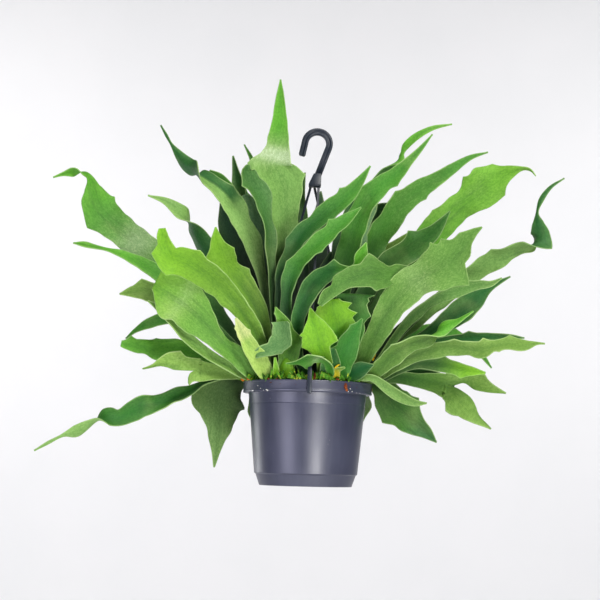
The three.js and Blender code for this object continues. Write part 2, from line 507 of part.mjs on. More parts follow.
// A closed ring of sections, each a list of points, with flat ends.
function loft(sections) {
  const count = sections[0].length;
  const index = [];
  for (let row = 0; row + 1 < sections.length; row += 1) {
    for (let i = 0; i < count; i += 1) {
      const [a, b] = [row * count + i, row * count + (i + 1) % count];
      index.push(a, b + count, b, a, a + count, b + count);
    }
  }
  const flat = sections[0].map(([u, v]) => new THREE.Vector2(u, v));
  const last = (sections.length - 1) * count;
  for (const [a, b, c] of THREE.ShapeUtils.triangulateShape(flat, [])) {
    index.push(a, b, c, last + a, last + c, last + b);
  }
  const points = sections.flatMap((section) => section.map((entry) => entry[2]));
  let volume = 0;
  for (let i = 0; i < index.length; i += 3) {
    const [a, b, c] = index.slice(i, i + 3).map((n) => points[n].clone().sub(points[0]));
    volume += a.dot(b.cross(c));
  }
  const geometry = new THREE.BufferGeometry().setFromPoints(points);
  geometry.setIndex(volume > 0 ? index : index.reverse());
  geometry.computeVertexNormals();
  return geometry;
}

// A bar of the given outline along a flat path. Each stop is [point, direction of the outline's u, scale];
// the outline's v runs along the given side vector.
function bar(outline, stops, side) {
  return loft(stops.map(([point, across, scaleU = 1, scaleV = 1]) => outline.map(([u, v]) => [
    u, v, point.clone().addScaledVector(across, u * scaleU).addScaledVector(side, v * scaleV),
  ])));
}

// ---------------------------------------------------------------- pot and soil

function potGeometry() {
  const bandZ = RIM_Z - BAND_H;
  const profile = [
    [0, 0], [FOOT_R - LIP, 0], [FOOT_R, LIP],
    [FOOT_TOP_R, STEP_Z - 1], [WALL_LOW_R, STEP_Z],
    [WALL_TOP_R, bandZ], [RIM_R - LIP, bandZ], [RIM_R, bandZ + LIP],
    [RIM_R, RIM_Z - LIP], [RIM_R - LIP, RIM_Z], [RIM_R - WALL_T, RIM_Z],
    [RIM_R - WALL_T, bandZ + WALL_T], [WALL_TOP_R - WALL_T, bandZ + WALL_T],
    [WALL_LOW_R - WALL_T, STEP_Z + WALL_T], [FOOT_TOP_R - WALL_T, STEP_Z],
    [FOOT_R - WALL_T, FLOOR_T], [0, FLOOR_T],
  ].map(([r, z]) => new THREE.Vector2(r, z));
  let pot = solid(new THREE.LatheGeometry(profile, POT_SIDES).rotateX(Math.PI / 2));
  for (let i = 0; i < DRAINS; i += 1) {
    const angle = (i + 0.5) * 2 * Math.PI / DRAINS;
    const drain = new THREE.CylinderGeometry(DRAIN_R, DRAIN_R, 4 * FLOOR_T, 8).rotateX(Math.PI / 2);
    drain.translate(DRAIN_RING * Math.cos(angle), DRAIN_RING * Math.sin(angle), FLOOR_T / 2);
    pot = pot.subtract(solid(drain));
  }
  return geometryOf(pot);
}

// The soil fills the pot, and has a plain hole round each stalk and each crown.
function soilGeometry(holes) {
  const inner = WALL_T + GAP;
  const ledge = RIM_Z - BAND_H + inner;
  const profile = [
    [0, FLOOR_T + GAP], [FOOT_R - inner, FLOOR_T + GAP], [FOOT_TOP_R - inner, STEP_Z],
    [WALL_LOW_R - inner, STEP_Z + inner], [WALL_TOP_R - inner, ledge], [RIM_R - inner, ledge],
    [RIM_R - inner, SOIL_Z - SOIL_BEVEL[1]], [RIM_R - inner - SOIL_BEVEL[0], SOIL_Z], [0, SOIL_Z],
  ].map(([r, z]) => new THREE.Vector2(r, z));
  const soil = solid(new THREE.LatheGeometry(profile, POT_SIDES).rotateX(Math.PI / 2));
  return geometryOf(soil.subtract(wasm.Manifold.union(holes.map(solid))));
}

// ---------------------------------------------------------------- hanger

function hookGeometry() {
  const h = HOOK_BAR / 2;
  const bevelled = h - BAR_BEVEL;
  const floor = h - GROOVE_DEPTH;
  // Half of a bar with a groove along its front and back: u across it in the plane of the hook, v along Y.
  const half = [
    [-h, -bevelled], [-bevelled, -h], [-GROOVE_HALF, -h], [-GROOVE_HALF, -floor],
    [GROOVE_HALF, -floor], [GROOVE_HALF, -h], [bevelled, -h], [h, -bevelled],
  ];
  const outline = [...half, ...half.map(([u, v]) => [-u, -v])];
  const centre = new THREE.Vector3(HOOK_X, 0, HOOK_Z);
  const out = (angle) => new THREE.Vector3(Math.cos(angle), 0, Math.sin(angle));
  const onBend = (angle) => centre.clone().addScaledVector(out(angle), HOOK_BEND_R);
  const tip = new THREE.Vector3(HOOK_TIP[0], 0, HOOK_TIP[1]);
  const neck = new THREE.Vector3(BLOCK_X + BLOCK_LEAN, 0, BLOCK_TOP_Z - 3);
  // Each straight leg leaves the bend where it is tangent to it.
  const tangentAngle = (target, hand) => {
    const reach = target.clone().sub(centre);
    return Math.atan2(reach.z, reach.x) + hand * Math.acos(HOOK_BEND_R / reach.length());
  };
  const first = tangentAngle(tip, -1) + 2 * Math.PI;
  const last = tangentAngle(neck, 1);
  const stops = [[tip, out(first), 0.8, 0.8], [tip.clone().lerp(onBend(first), 0.06), out(first)]];
  for (let i = 0; i <= BEND_STEPS; i += 1) {
    const angle = first + (last - first) * (i / BEND_STEPS);
    stops.push([onBend(angle), out(angle)]);
  }
  stops.push([neck, out(last)]);
  const hook = solid(bar(outline, stops, new THREE.Vector3(0, 1, 0)));
  const corner = ([w, d], z, lean = 0) => [[-1, -1], [1, -1], [1, 1], [-1, 1]].map(([i, j]) => [
    i * w / 2, j * d / 2, new THREE.Vector3(BLOCK_X + lean + i * w / 2, j * d / 2, z),
  ]);
  const block = solid(loft([
    corner(BLOCK_FOOT, BLOCK_Z), corner(BLOCK_FOOT, BLOCK_Z + BLOCK_BAND),
    corner(BLOCK_TOP, BLOCK_TOP_Z, BLOCK_LEAN),
  ]));
  const pin = new THREE.CylinderGeometry(PIN_R, PIN_R, 3 * BLOCK_FOOT[1], 10).translate(BLOCK_X, 0, PIN_Z);
  return geometryOf(hook.add(block).subtract(solid(pin)));
}

// One strand: taut from the block to the rim, then down the outside of the band, with a toe under it.
function strandGeometry([degrees, rim, top]) {
  const azimuth = THREE.MathUtils.degToRad(degrees);
  const out = new THREE.Vector3(Math.cos(azimuth), Math.sin(azimuth), 0);
  const side = new THREE.Vector3(-Math.sin(azimuth), Math.cos(azimuth), 0);
  const up = new THREE.Vector3(0, 0, 1);
  const face = RIM_R + GAP + STRAND_T / 2;
  const under = RIM_Z - BAND_H - GAP - STRAND_T / 2;
  const at = (r, z) => out.clone().multiplyScalar(r).addScaledVector(side, rim).addScaledVector(up, z);
  const start = new THREE.Vector3(BLOCK_X + top[0], top[1], BLOCK_Z - GAP);
  const shoulder = at(face, RIM_Z + CLIP_TOP);
  const taut = shoulder.clone().sub(start).normalize();
  const normal = new THREE.Vector3().crossVectors(side, taut).normalize();
  if (normal.dot(out) < 0) normal.negate();
  const outline = [[-0.5, -0.5], [0.5, -0.5], [0.5, 0.5], [-0.5, 0.5]];
  const mitre = out.clone().sub(up);
  const stops = [
    [start, out, STRAND_T, STRAND_W],
    [start.clone().lerp(shoulder, 0.93), normal, STRAND_T, STRAND_W],
    [shoulder, normal.clone().add(out).normalize(), STRAND_T, CLIP_W],
    [at(face, under), mitre, STRAND_T, CLIP_W],
    [at(WALL_TOP_R + TOE_GAP, under), up.clone().negate(), STRAND_T, STRAND_W],
  ];
  return bar(outline, stops, side);
}

// ---------------------------------------------------------------- blades

// From the elevation to the real place.
function sighted(x, z, y) {
  const k = 1 + y / EYE_DISTANCE;
  return new THREE.Vector3(EYE_X + (x - EYE_X) * k, y, EYE_Z + (z - EYE_Z) * k);
}

// A station as six numbers: place, left and right half-width, turn.
function station([x, z, y, half, turn, skew = 0]) {
  const place = sighted(x, z, y);
  const radians = THREE.MathUtils.degToRad(turn);
  const seen = Math.max(EDGE_ON, Math.abs(Math.cos(radians)));
  const width = half * (1 + y / EYE_DISTANCE) / seen;
  return [place.x, place.y, place.z, width * (1 + skew), width * (1 - skew), radians];
}

const mix = (a, b, f) => a.map((value, i) => value + (b[i] - value) * f);

// Rows along the stations: a smooth curve through them, one row about every ROW_STEP.
function rowsAlong(keys, before) {
  const ends = [before ?? mix(keys[1], keys[0], 2), ...keys, mix(keys.at(-2), keys.at(-1), 2)];
  const rows = [];
  for (let i = 1; i + 2 < ends.length; i += 1) {
    const [p0, p1, p2, p3] = ends.slice(i - 1, i + 3);
    const reach = Math.hypot(p2[0] - p1[0], p2[1] - p1[1], p2[2] - p1[2]);
    const twist = Math.abs(p2[5] - p1[5]);
    const steps = Math.max(1, Math.round(reach / ROW_STEP), Math.ceil(twist / TWIST_STEP));
    const lastStretch = i + 3 === ends.length;
    for (let j = 0; j < steps + (lastStretch ? 1 : 0); j += 1) {
      const t = j / steps;
      const value = p1.map((_, n) => 0.5 * (2 * p1[n] + (p2[n] - p0[n]) * t
        + (2 * p0[n] - 5 * p1[n] + 4 * p2[n] - p3[n]) * t * t
        + (3 * p1[n] - p0[n] - 3 * p2[n] + p3[n]) * t * t * t));
      const slope = [0, 1, 2].map((n) => 0.5 * (p2[n] - p0[n]
        + 2 * (2 * p0[n] - 5 * p1[n] + 4 * p2[n] - p3[n]) * t
        + 3 * (3 * p1[n] - p0[n] - 3 * p2[n] + p3[n]) * t * t));
      rows.push({ value, along: new THREE.Vector3(...slope).normalize() });
    }
  }
  return rows;
}

// The directions across and out of a blade at one row. The blade faces as the row before it did, bent
// with the midrib, and is then turned about the midrib.
function frameOf({ value, along }, facing) {
  const flat = facing.clone().addScaledVector(along, -facing.dot(along)).normalize();
  const side = new THREE.Vector3().crossVectors(flat, along);
  const turn = value[5];
  return {
    flat,
    across: side.clone().multiplyScalar(Math.cos(turn)).addScaledVector(flat, Math.sin(turn)),
    normal: flat.clone().multiplyScalar(Math.cos(turn)).addScaledVector(side, -Math.sin(turn)),
  };
}

// The points across one row, from the left margin to the right one.
function rowPoints(row, { across, normal }, columns, cup, travelled) {
  const middle = new THREE.Vector3(row.value[0], row.value[1], row.value[2]);
  return Array.from({ length: columns }, (_, i) => {
    const v = 1 - 2 * i / (columns - 1);
    const half = Math.max(LEAST_HALF, v > 0 ? row.value[3] : row.value[4]);
    const wave = Math.sin(2 * Math.PI * travelled / RUFFLE_LENGTH + (v > 0 ? 0 : RUFFLE_LAG));
    const lift = cup * v * v * half + RUFFLE * Math.min(1, half / FULL_RUFFLE) * v * v * wave;
    return middle.clone().addScaledVector(across, v * half).addScaledVector(normal, lift);
  });
}

// A blade from its stations, as one closed solid with blunt margins.
function bladeGeometry([, cup, path, left = [], right = []]) {
  const points = [];
  const weights = [];
  const faces = [];
  const addRow = (row, frame, columns, travelled) => {
    const first = points.length;
    points.push(...rowPoints(row, frame, columns, cup, travelled));
    weights.push(...Array(columns).fill(travelled));
    return Array.from({ length: columns }, (_, i) => first + i);
  };
  const bridge = (lower, upper) => {
    for (let i = 0; i + 1 < lower.length; i += 1) {
      faces.push([lower[i], lower[i + 1], upper[i + 1]], [lower[i], upper[i + 1], upper[i]]);
    }
  };
  const grow = (rows, lower, columns, from, facing) => {
    let travelled = from;
    let previous = lower;
    let place = null;
    let frame = { flat: facing };
    for (const row of rows) {
      const here = new THREE.Vector3(row.value[0], row.value[1], row.value[2]);
      if (place) travelled += here.distanceTo(place);
      frame = frameOf(row, frame.flat);
      const upper = addRow(row, frame, columns, travelled);
      if (previous) bridge(previous, upper);
      previous = upper;
      place = here;
    }
    return { end: previous, travelled, frame };
  };
  const widest = Math.max(...[...path, ...left, ...right].map((entry) => entry[3]));
  const columns = widest < NARROW_HALF ? NARROW_COLUMNS : COLUMNS;
  const keys = path.map(station);
  if (path[0][1] < ROOTED_BELOW) {
    const root = [...keys[0]];
    root[2] = SOIL_Z - ROOT_DEPTH + GAP;
    keys.unshift(root);
  }
  const rows = rowsAlong(keys);
  const { end, travelled, frame } = grow(rows, null, columns, 0, new THREE.Vector3(0, -1, 0));
  const half = (columns - 1) / 2;
  const lobes = [[left, end.slice(0, half + 1), 1], [right, end.slice(half), -1]];
  for (const [lobe, lower, hand] of left.length ? lobes : []) {
    const tip = rows.at(-1);
    const width = hand > 0 ? tip.value[3] : tip.value[4];
    const { across } = frame;
    const start = [...tip.value];
    [across.x, across.y, across.z].forEach((part, n) => { start[n] += part * hand * width / 2; });
    start[3] = width / 2;
    start[4] = width / 2;
    const lobeKeys = [start, ...lobe.map(station)];
    const reach = Math.hypot(...[0, 1, 2].map((n) => lobeKeys[1][n] - start[n]));
    const before = start.map((value, n) => (n < 3 ? value - tip.along.getComponent(n) * reach
      : 2 * value - lobeKeys[1][n]));
    grow(rowsAlong(lobeKeys, before).slice(1), lower, half + 1, travelled, frame.flat);
  }
  return thicken(points, faces, weights);
}

// Both faces of a thin blade, and the margin between them.
function thicken(points, faces, weights) {
  const normals = points.map(() => new THREE.Vector3());
  for (const [a, b, c] of faces) {
    const edge = new THREE.Vector3().subVectors(points[b], points[a]);
    const face = edge.cross(new THREE.Vector3().subVectors(points[c], points[a])).normalize();
    for (const corner of [a, b, c]) normals[corner].add(face);
  }
  const longest = Math.max(...weights);
  const count = points.length;
  const both = [1, -1].flatMap((hand) => points.map((point, i) => {
    const thickness = STALK_T + (TIP_T - STALK_T) * weights[i] / longest;
    return point.clone().addScaledVector(normals[i].normalize(), hand * thickness / 2);
  }));
  const edges = new Set(faces.flatMap(([a, b, c]) => [`${a},${b}`, `${b},${c}`, `${c},${a}`]));
  const index = faces.flatMap(([a, b, c]) => [a, b, c, a + count, c + count, b + count]);
  for (const edge of edges) {
    const [a, b] = edge.split(',').map(Number);
    if (!edges.has(`${b},${a}`)) index.push(b, a, a + count, b, a + count, b + count);
  }
  const geometry = new THREE.BufferGeometry().setFromPoints(both);
  geometry.setIndex(index);
  geometry.computeVertexNormals();
  return geometry;
}

// The hole in the soil that a stalk stands in.
function stalkHole([, cup, [[x, z, y, half]]]) {
  const place = sighted(x, z, y);
  const width = 2 * (half + HOLE_PLAY);
  const depth = STALK_T + 2 * RUFFLE + HOLE_PLAY + Math.abs(cup) * half;
  const box = new THREE.BoxGeometry(width, depth, 2 * ROOT_DEPTH);
  return box.translate(place.x, place.y - cup * half / 2, SOIL_Z);
}

// A low crown that the blades of a clump grow out of.
function crownGeometry([x, y, radius]) {
  const dome = new THREE.LatheGeometry([
    [0, GAP - ROOT_DEPTH], [radius, GAP - ROOT_DEPTH], [radius, 1],
    [radius * SHOULDER[0], SHOULDER[1]], [0, CROWN_H],
  ].map(([r, z]) => new THREE.Vector2(r, z)), CROWN_SIDES).rotateX(Math.PI / 2);
  return dome.translate(x, y, SOIL_Z);
}

function crownHole([x, y, radius]) {
  const wide = radius + 3 * GAP;
  const hole = new THREE.CylinderGeometry(wide, wide, 2 * ROOT_DEPTH, CROWN_SIDES).rotateX(Math.PI / 2);
  return hole.translate(x, y, SOIL_Z);
}

function clumpGeometry({ crown, blades }) {
  const parts = blades.map((blade) => bladeGeometry(blade));
  if (crown) parts.unshift(crownGeometry(crown));
  return geometryOf(wasm.Manifold.union(parts.map(solid)));
}

// ---------------------------------------------------------------- the plant in its pot

const plant = new THREE.Group();

function add(name, geometry, material) {
  const mesh = new THREE.Mesh(geometry, material);
  mesh.name = name;
  plant.add(mesh);
}

const holes = [
  ...Object.values(FRONDS).map(stalkHole),
  ...Object.values(CLUMPS).map(({ crown, blades }) => (crown ? crownHole(crown) : stalkHole(blades[0]))),
];
add('pot', potGeometry(), plastic());
add('soil', soilGeometry(holes), peat());
add('hanger_hook', hookGeometry(), plastic());
for (const [side, strand] of Object.entries(STRANDS)) {
  add(`hanger_strand_${side}`, strandGeometry(strand), plastic());
}
for (const [name, frond] of Object.entries(FRONDS)) {
  add(name, bladeGeometry(frond), leafMaterial(frond[0]));
}
for (const [name, clump] of Object.entries(CLUMPS)) {
  add(name, clumpGeometry(clump), leafMaterial(clump.tone));
}

const group = new THREE.Group();
plant.position.set(-HOOK_X, 0, -SEAT_Z);
group.add(plant);
export default group;
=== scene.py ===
# %% [markdown]
# # A staghorn fern in its hanging pot
# A staghorn fern is grown for its fertile fronds: long leathery blades that widen, wave along their
# margins and end in antler-like lobes. This one grows in a moulded pot that hangs from its own hook.
# The solids that hold its size are loaded first. Every piece below is made over them, in the same frame.

# %% Load the solids
import math
import bmesh
import bpy
import numpy as np
from mathutils import Matrix, Vector


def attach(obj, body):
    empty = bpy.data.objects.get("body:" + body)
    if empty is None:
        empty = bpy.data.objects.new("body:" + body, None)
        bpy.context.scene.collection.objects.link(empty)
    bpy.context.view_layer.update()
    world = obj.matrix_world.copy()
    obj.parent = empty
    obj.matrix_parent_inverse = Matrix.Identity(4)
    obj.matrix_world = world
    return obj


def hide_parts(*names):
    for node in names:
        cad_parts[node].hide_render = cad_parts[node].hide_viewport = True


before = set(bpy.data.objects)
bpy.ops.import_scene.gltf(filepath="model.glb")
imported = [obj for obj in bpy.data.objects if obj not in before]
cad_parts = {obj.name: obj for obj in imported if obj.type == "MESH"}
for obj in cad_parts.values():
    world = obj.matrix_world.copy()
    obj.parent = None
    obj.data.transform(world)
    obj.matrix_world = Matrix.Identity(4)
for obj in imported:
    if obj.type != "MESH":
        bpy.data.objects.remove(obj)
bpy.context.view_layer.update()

# %% [markdown]
# ## Sizes
# The pot is drawn in millimetres about its own axis, standing on zero, because its sizes are easiest to
# read that way. The whole part is measured from the seat of its hook, so one function moves and scales
# every finished mesh there.

# %% The seat of the hook, and the level of the soil
HOOK_X, HOOK_Z, HOOK_BEND_R, HOOK_BAR = 4.5, 403, 14.5, 8
SEAT = np.array([HOOK_X, 0, HOOK_Z + HOOK_BEND_R - HOOK_BAR / 2])
SOIL_Z, GAP, ROOT_DEPTH = 117, 0.35, 6
print("seat of the hook, above the pot's foot:", SEAT[2], "mm")


def placed(points):
    """Points about the pot in millimetres, as metres from the seat of the hook."""
    return (np.asarray(points, dtype=float) - SEAT) / 1000


# %% A piece of the part from points and faces
def linked(name, data=None):
    """A new object in the scene, for a mesh, a lamp or a camera."""
    made = bpy.data.objects.new(name, data)
    bpy.context.scene.collection.objects.link(made)
    return made


def dressed(name, mesh, finish):
    """A new object with a smooth mesh and its finish."""
    mesh.polygons.foreach_set("use_smooth", [True] * len(mesh.polygons))
    mesh.materials.append(finish)
    return linked(name, mesh)


def piece(name, points, faces, finish, nodes=(), slot=None):
    """A mesh that rides on the part, stands for the named solids, and takes a finish."""
    mesh = bpy.data.meshes.new(name)
    mesh.from_pydata(placed(points).tolist(), [], [tuple(int(i) for i in face) for face in faces])
    made = dressed(name, mesh, finish)
    declare(made, nodes)
    return made


def declare(made, nodes=()):
    """The finished object rides on the part's one body."""
    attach(made, "root")
    if nodes:
        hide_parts(*nodes)


# %% [markdown]
# ## A short way to write node trees
# A finish is worked out with nodes, and long chains of Math nodes are hard to read. A small class wraps a
# socket, so that `1 - mask` or `noise * 0.3` adds the node it means. Everything else comes from one method
# that takes the node's type, its settings and what goes into its sockets. The same two classes serve the
# Geometry Nodes that scatter moss and fibres further down.

# %% Sockets that Python can calculate with
class Wire:
    """One output socket. Arithmetic on it adds Math nodes to its tree."""

    def __init__(self, tree, socket):
        self.tree, self.socket = tree, socket

    def maths(self, operation, *terms, clamp=False):
        settings = {"operation": operation, "use_clamp": clamp}
        return self.tree.node("ShaderNodeMath", settings, dict(enumerate(terms)))

    def __add__(self, other):
        return self.maths("ADD", self, other)

    def __sub__(self, other):
        return self.maths("SUBTRACT", self, other)

    def __rsub__(self, other):
        return self.maths("SUBTRACT", other, self)

    def __mul__(self, other):
        return self.maths("MULTIPLY", self, other)

    def __pow__(self, other):
        return self.maths("POWER", self, other)

    def __rpow__(self, other):
        return self.maths("POWER", other, self)

    def __abs__(self):
        return self.maths("ABSOLUTE", self)

    __radd__, __rmul__ = __add__, __mul__

    def ramp(self, low, high, start=0.0, end=1.0):
        """Smoothly from start to end as the value goes from low to high."""
        settings = {"interpolation_type": "SMOOTHSTEP"}
        return self.tree.node("ShaderNodeMapRange", settings, {0: self, 1: low, 2: high, 3: start, 4: end})


class Tree:
    """A node tree, for a finish or for Geometry Nodes."""

    def __init__(self, tree):
        self.tree = tree

    def node(self, kind, settings=None, inputs=None, output=0):
        """Adds a node with its settings and inputs, and gives back one of its outputs."""
        made = self.tree.nodes.new(kind)
        for key, value in (settings or {}).items():
            setattr(made, key, value)
        for key, value in (inputs or {}).items():
            if isinstance(value, Wire):
                self.tree.links.new(value.socket, made.inputs[key])
            else:
                made.inputs[key].default_value = value
        return Wire(self, made.outputs[output])

    def mix(self, factor, a, b, blend="MIX"):
        """One colour into another."""
        settings = {"data_type": "RGBA", "blend_type": blend, "clamp_factor": True}
        return self.node("ShaderNodeMix", settings, {0: factor, 6: a, 7: b}, output=2)


# %% [markdown]
# ## Finishes
# Each finish is a Principled shader. What is the same everywhere is set on the shader itself. Only the
# colour, the roughness and the normal are worked out over the surface.

# %% The start of every finish
def linear(code):
    """A colour written as six hexadecimal digits, as the shader wants it."""
    parts = [int(code[i:i + 2], 16) / 255 for i in (0, 2, 4)]
    return (*(p / 12.92 if p <= 0.04045 else ((p + 0.055) / 1.055) ** 2.4 for p in parts), 1.0)


class Finish(Tree):
    """A material under construction."""

    def __init__(self, name, **same_everywhere):
        self.material = bpy.data.materials.new(name)
        self.material.use_nodes = True
        super().__init__(self.material.node_tree)
        self.shader = self.tree.nodes["Principled BSDF"]
        for socket, value in same_everywhere.items():
            self.shader.inputs[socket.replace("_", " ")].default_value = value
        self.place = self.node("ShaderNodeTexCoord", output="Object")

    def noise(self, scale, detail=2.0, roughness=0.5, where=None):
        """Soft noise between 0 and 1, with a given number of lumps to the metre."""
        inputs = {"Vector": where or self.place, "Scale": scale, "Detail": detail, "Roughness": roughness}
        return self.node("ShaderNodeTexNoise", None, inputs)

    def attribute(self, name, output="Fac"):
        """A value that the mesh carries."""
        return self.node("ShaderNodeAttribute", {"attribute_name": name}, output=output)

    def feed(self, colour=None, roughness=None, height=None, depth=0.0002, strength=1.0):
        """Connects what varies, and gives back the material."""
        if colour is not None:
            self.tree.links.new(colour.socket, self.shader.inputs["Base Color"])
        if roughness is not None:
            self.tree.links.new(roughness.socket, self.shader.inputs["Roughness"])
        if height is not None:
            inputs = {"Height": height, "Distance": depth, "Strength": strength}
            bump = self.node("ShaderNodeBump", None, inputs)
            self.tree.links.new(bump.socket, self.shader.inputs["Normal"])
        return self.material


# %% [markdown]
# ## The finish of a frond
# A frond is a thin, satin blade under a felt of star-shaped hairs. The felt makes it paler, most of all
# along its margins, where it shows as a thin light line. Young blades are yellow-green, old ones deep
# green, and the face turned to the light is lighter than the one turned away. One recipe serves them all:
# the mesh of a frond carries the tone of both its faces, how far across and along the blade each point
# lies, and how wide the blade is there, so veins, margin and felt follow the blade round every bend.

# %% Tones of the fronds
TONES = {
    "lime": ("7fbd12", 0.06), "bright": ("57a51c", 0.12), "mid": ("3f8c20", 0.16), "pale": ("86b45c", 0.45),
    "felt": ("6fa348", 0.60), "grey": ("659a70", 0.70), "olive": ("6c9630", 0.25), "moss": ("42702a", 0.35),
    "dark": ("136322", 0.08), "deep": ("0a4520", 0.08), "cream": ("dcdf90", 0.15), "yellow": ("d6c024", 0.05),
}


def tone(name):
    """The colour of a tone, with the thickness of its felt as a fourth number."""
    code, felt = TONES[name]
    return (*linear(code)[:3], felt)


# %% The recipe
DEEPENING, LIGHTENING = (0.16, 0.40, 0.15, 1), (0.55, 0.70, 0.22, 1)
VEIN_TINT, MARGIN_LINE = (0.30, 0.48, 0.22, 1), (0.48, 0.66, 0.26, 1)
THIN_FELT, THICK_FELT = (0.42, 0.57, 0.19, 1), (0.62, 0.72, 0.46, 1)
# The colour of the painted shade in the heart of the plant, and the point in the heart that it darkens
# towards.
HEART_SHADE, SHADED_HEART = (0.003, 0.012, 0.004, 1), tuple(placed([-5, 70, 190]))


def frond_finish(name, gloss):
    """A satin blade with veins, a pale margin and felt."""
    f = Finish(name, Specular_IOR_Level=0.32)
    face, across = f.attribute("face"), f.attribute("across")
    along, half = f.attribute("along"), f.attribute("half")
    front = face.ramp(-0.3, 0.3)
    base = f.mix(front, f.attribute("under", "Color"), f.attribute("upper", "Color"))
    felt_back, felt_front = f.attribute("under", "Alpha"), f.attribute("upper", "Alpha")
    felt = felt_back + (felt_front - felt_back) * front
    # The middle of a blade is deeper in colour than its sides, in long soft streaks.
    flow = f.node("ShaderNodeCombineXYZ", None, {0: across * half * 300, 1: along * 11, 2: half * 30})
    streaks = f.noise(1.0, 4.0, 0.65, flow)
    middle = 1 - abs(across).ramp(0.05, 0.75)
    patches = f.noise(22, 2.0)
    deep = f.mix(0.9, base, DEEPENING, "MULTIPLY")
    streaked = middle * 0.5 + streaks.ramp(0.42, 0.68) * 0.6
    colour = f.mix(streaked * patches.ramp(0.25, 0.7) * 0.8, base, deep)
    light = f.mix(0.40, base, LIGHTENING, "SCREEN")
    colour = f.mix(patches.ramp(0.52, 0.8) * 0.40 + (1 - middle) * 0.08, colour, light)
    # Veins run the length of the blade, a little darker than what lies between them.
    veins = f.node("ShaderNodeTexWave", {"wave_type": "BANDS", "bands_direction": "X"}, {
        "Vector": f.node("ShaderNodeCombineXYZ", None, {0: across * half * 330, 1: along * 14, 2: 0.0}),
        "Scale": 1.0, "Distortion": 4.0, "Detail": 2.0}, output="Fac")
    darker = f.mix(1.0, colour, VEIN_TINT, "MULTIPLY")
    fibres = f.node("ShaderNodeCombineXYZ", None, {0: across * half * 600, 1: along * 330, 2: half * 30})
    mottle = f.noise(1.0, 3.0, 0.75, fibres)
    dim = (1 - mottle.ramp(0.34, 0.60)) * 0.40 + veins.ramp(0.0, 0.35, 0.20, 0.0)
    colour = f.mix(dim, colour, darker)
    # Felt: grains of pale hair, thicker towards the margin. Its thickest patches also paint a whitish sheen.
    grain = f.noise(1500, 1.0, 0.7)
    edge = (1 - abs(across)) * half * 1000
    near = 1 - edge.ramp(0.3, 5.0)
    hair = mottle.ramp(0.46, 0.68) * 0.35 + grain.ramp(0.42, 0.68) * 0.25 + 0.15
    thick = felt.ramp(0.6, 1.5)
    pale = f.mix(thick, THIN_FELT, THICK_FELT)
    colour = f.mix(hair * (felt + near * 0.15 + 0.02) * 0.7 + thick * 0.25, colour, pale)
    line = f.node("ShaderNodeMath", {"operation": "MAXIMUM"}, {
        0: 1 - edge.ramp(0.15, 0.7), 1: 1 - abs(face).ramp(0.0, 0.8)})
    colour = f.mix(line * patches.ramp(0.35, 0.7, 0.22, 0.48), colour, MARGIN_LINE)
    # Painted shade: towards the heart of the plant, behind the young fronds in front, the colour is darkened
    # as if the fronds around it shadowed it.
    away = f.node("ShaderNodeVectorMath", {"operation": "DISTANCE"}, {0: f.place, 1: SHADED_HEART},
                  output="Value")
    inside = f.node("ShaderNodeSeparateXYZ", None, {0: f.place}, output=1).ramp(-0.062, -0.028)
    colour = f.mix(away.ramp(0.06, 0.19, 0.96, 0.0) * inside, colour, HEART_SHADE)
    rough = patches * 0.15 + mottle * 0.14 + felt * 0.25 + gloss
    height = veins * 0.5 + streaks * 0.7 + mottle * 0.55 + grain * felt * 0.3 + patches
    return f.feed(colour, rough, height, depth=0.0006, strength=0.6)


GLOSS = {
    "frond_lime": 0.36, "frond_bright": 0.34, "frond_green": 0.34, "frond_pale": 0.40,
    "frond_felted": 0.42, "frond_olive": 0.40, "frond_dark": 0.30,
}
FROND_FINISHES = {slot: frond_finish(slot, gloss) for slot, gloss in GLOSS.items()}
SLOT_OF = {
    "lime": "frond_lime", "bright": "frond_bright", "mid": "frond_green", "pale": "frond_pale",
    "felt": "frond_felted", "grey": "frond_felted", "olive": "frond_olive", "moss": "frond_olive",
    "dark": "frond_dark", "deep": "frond_dark",
}
print("frond finishes:", ", ".join(FROND_FINISHES))

# %% [markdown]
# ## How each frond runs
# A frond is drawn by stations along its midrib. Each is (x, z, depth, half-width, turn, skew): the place
# where the midrib is seen on a front elevation, how far it lies behind (+) or before (-) the pot's axis,
# and how the blade twists there. The first entries are the tones of its upper and under faces and its cup.
# Where a frond forks, a left and a right list follow.

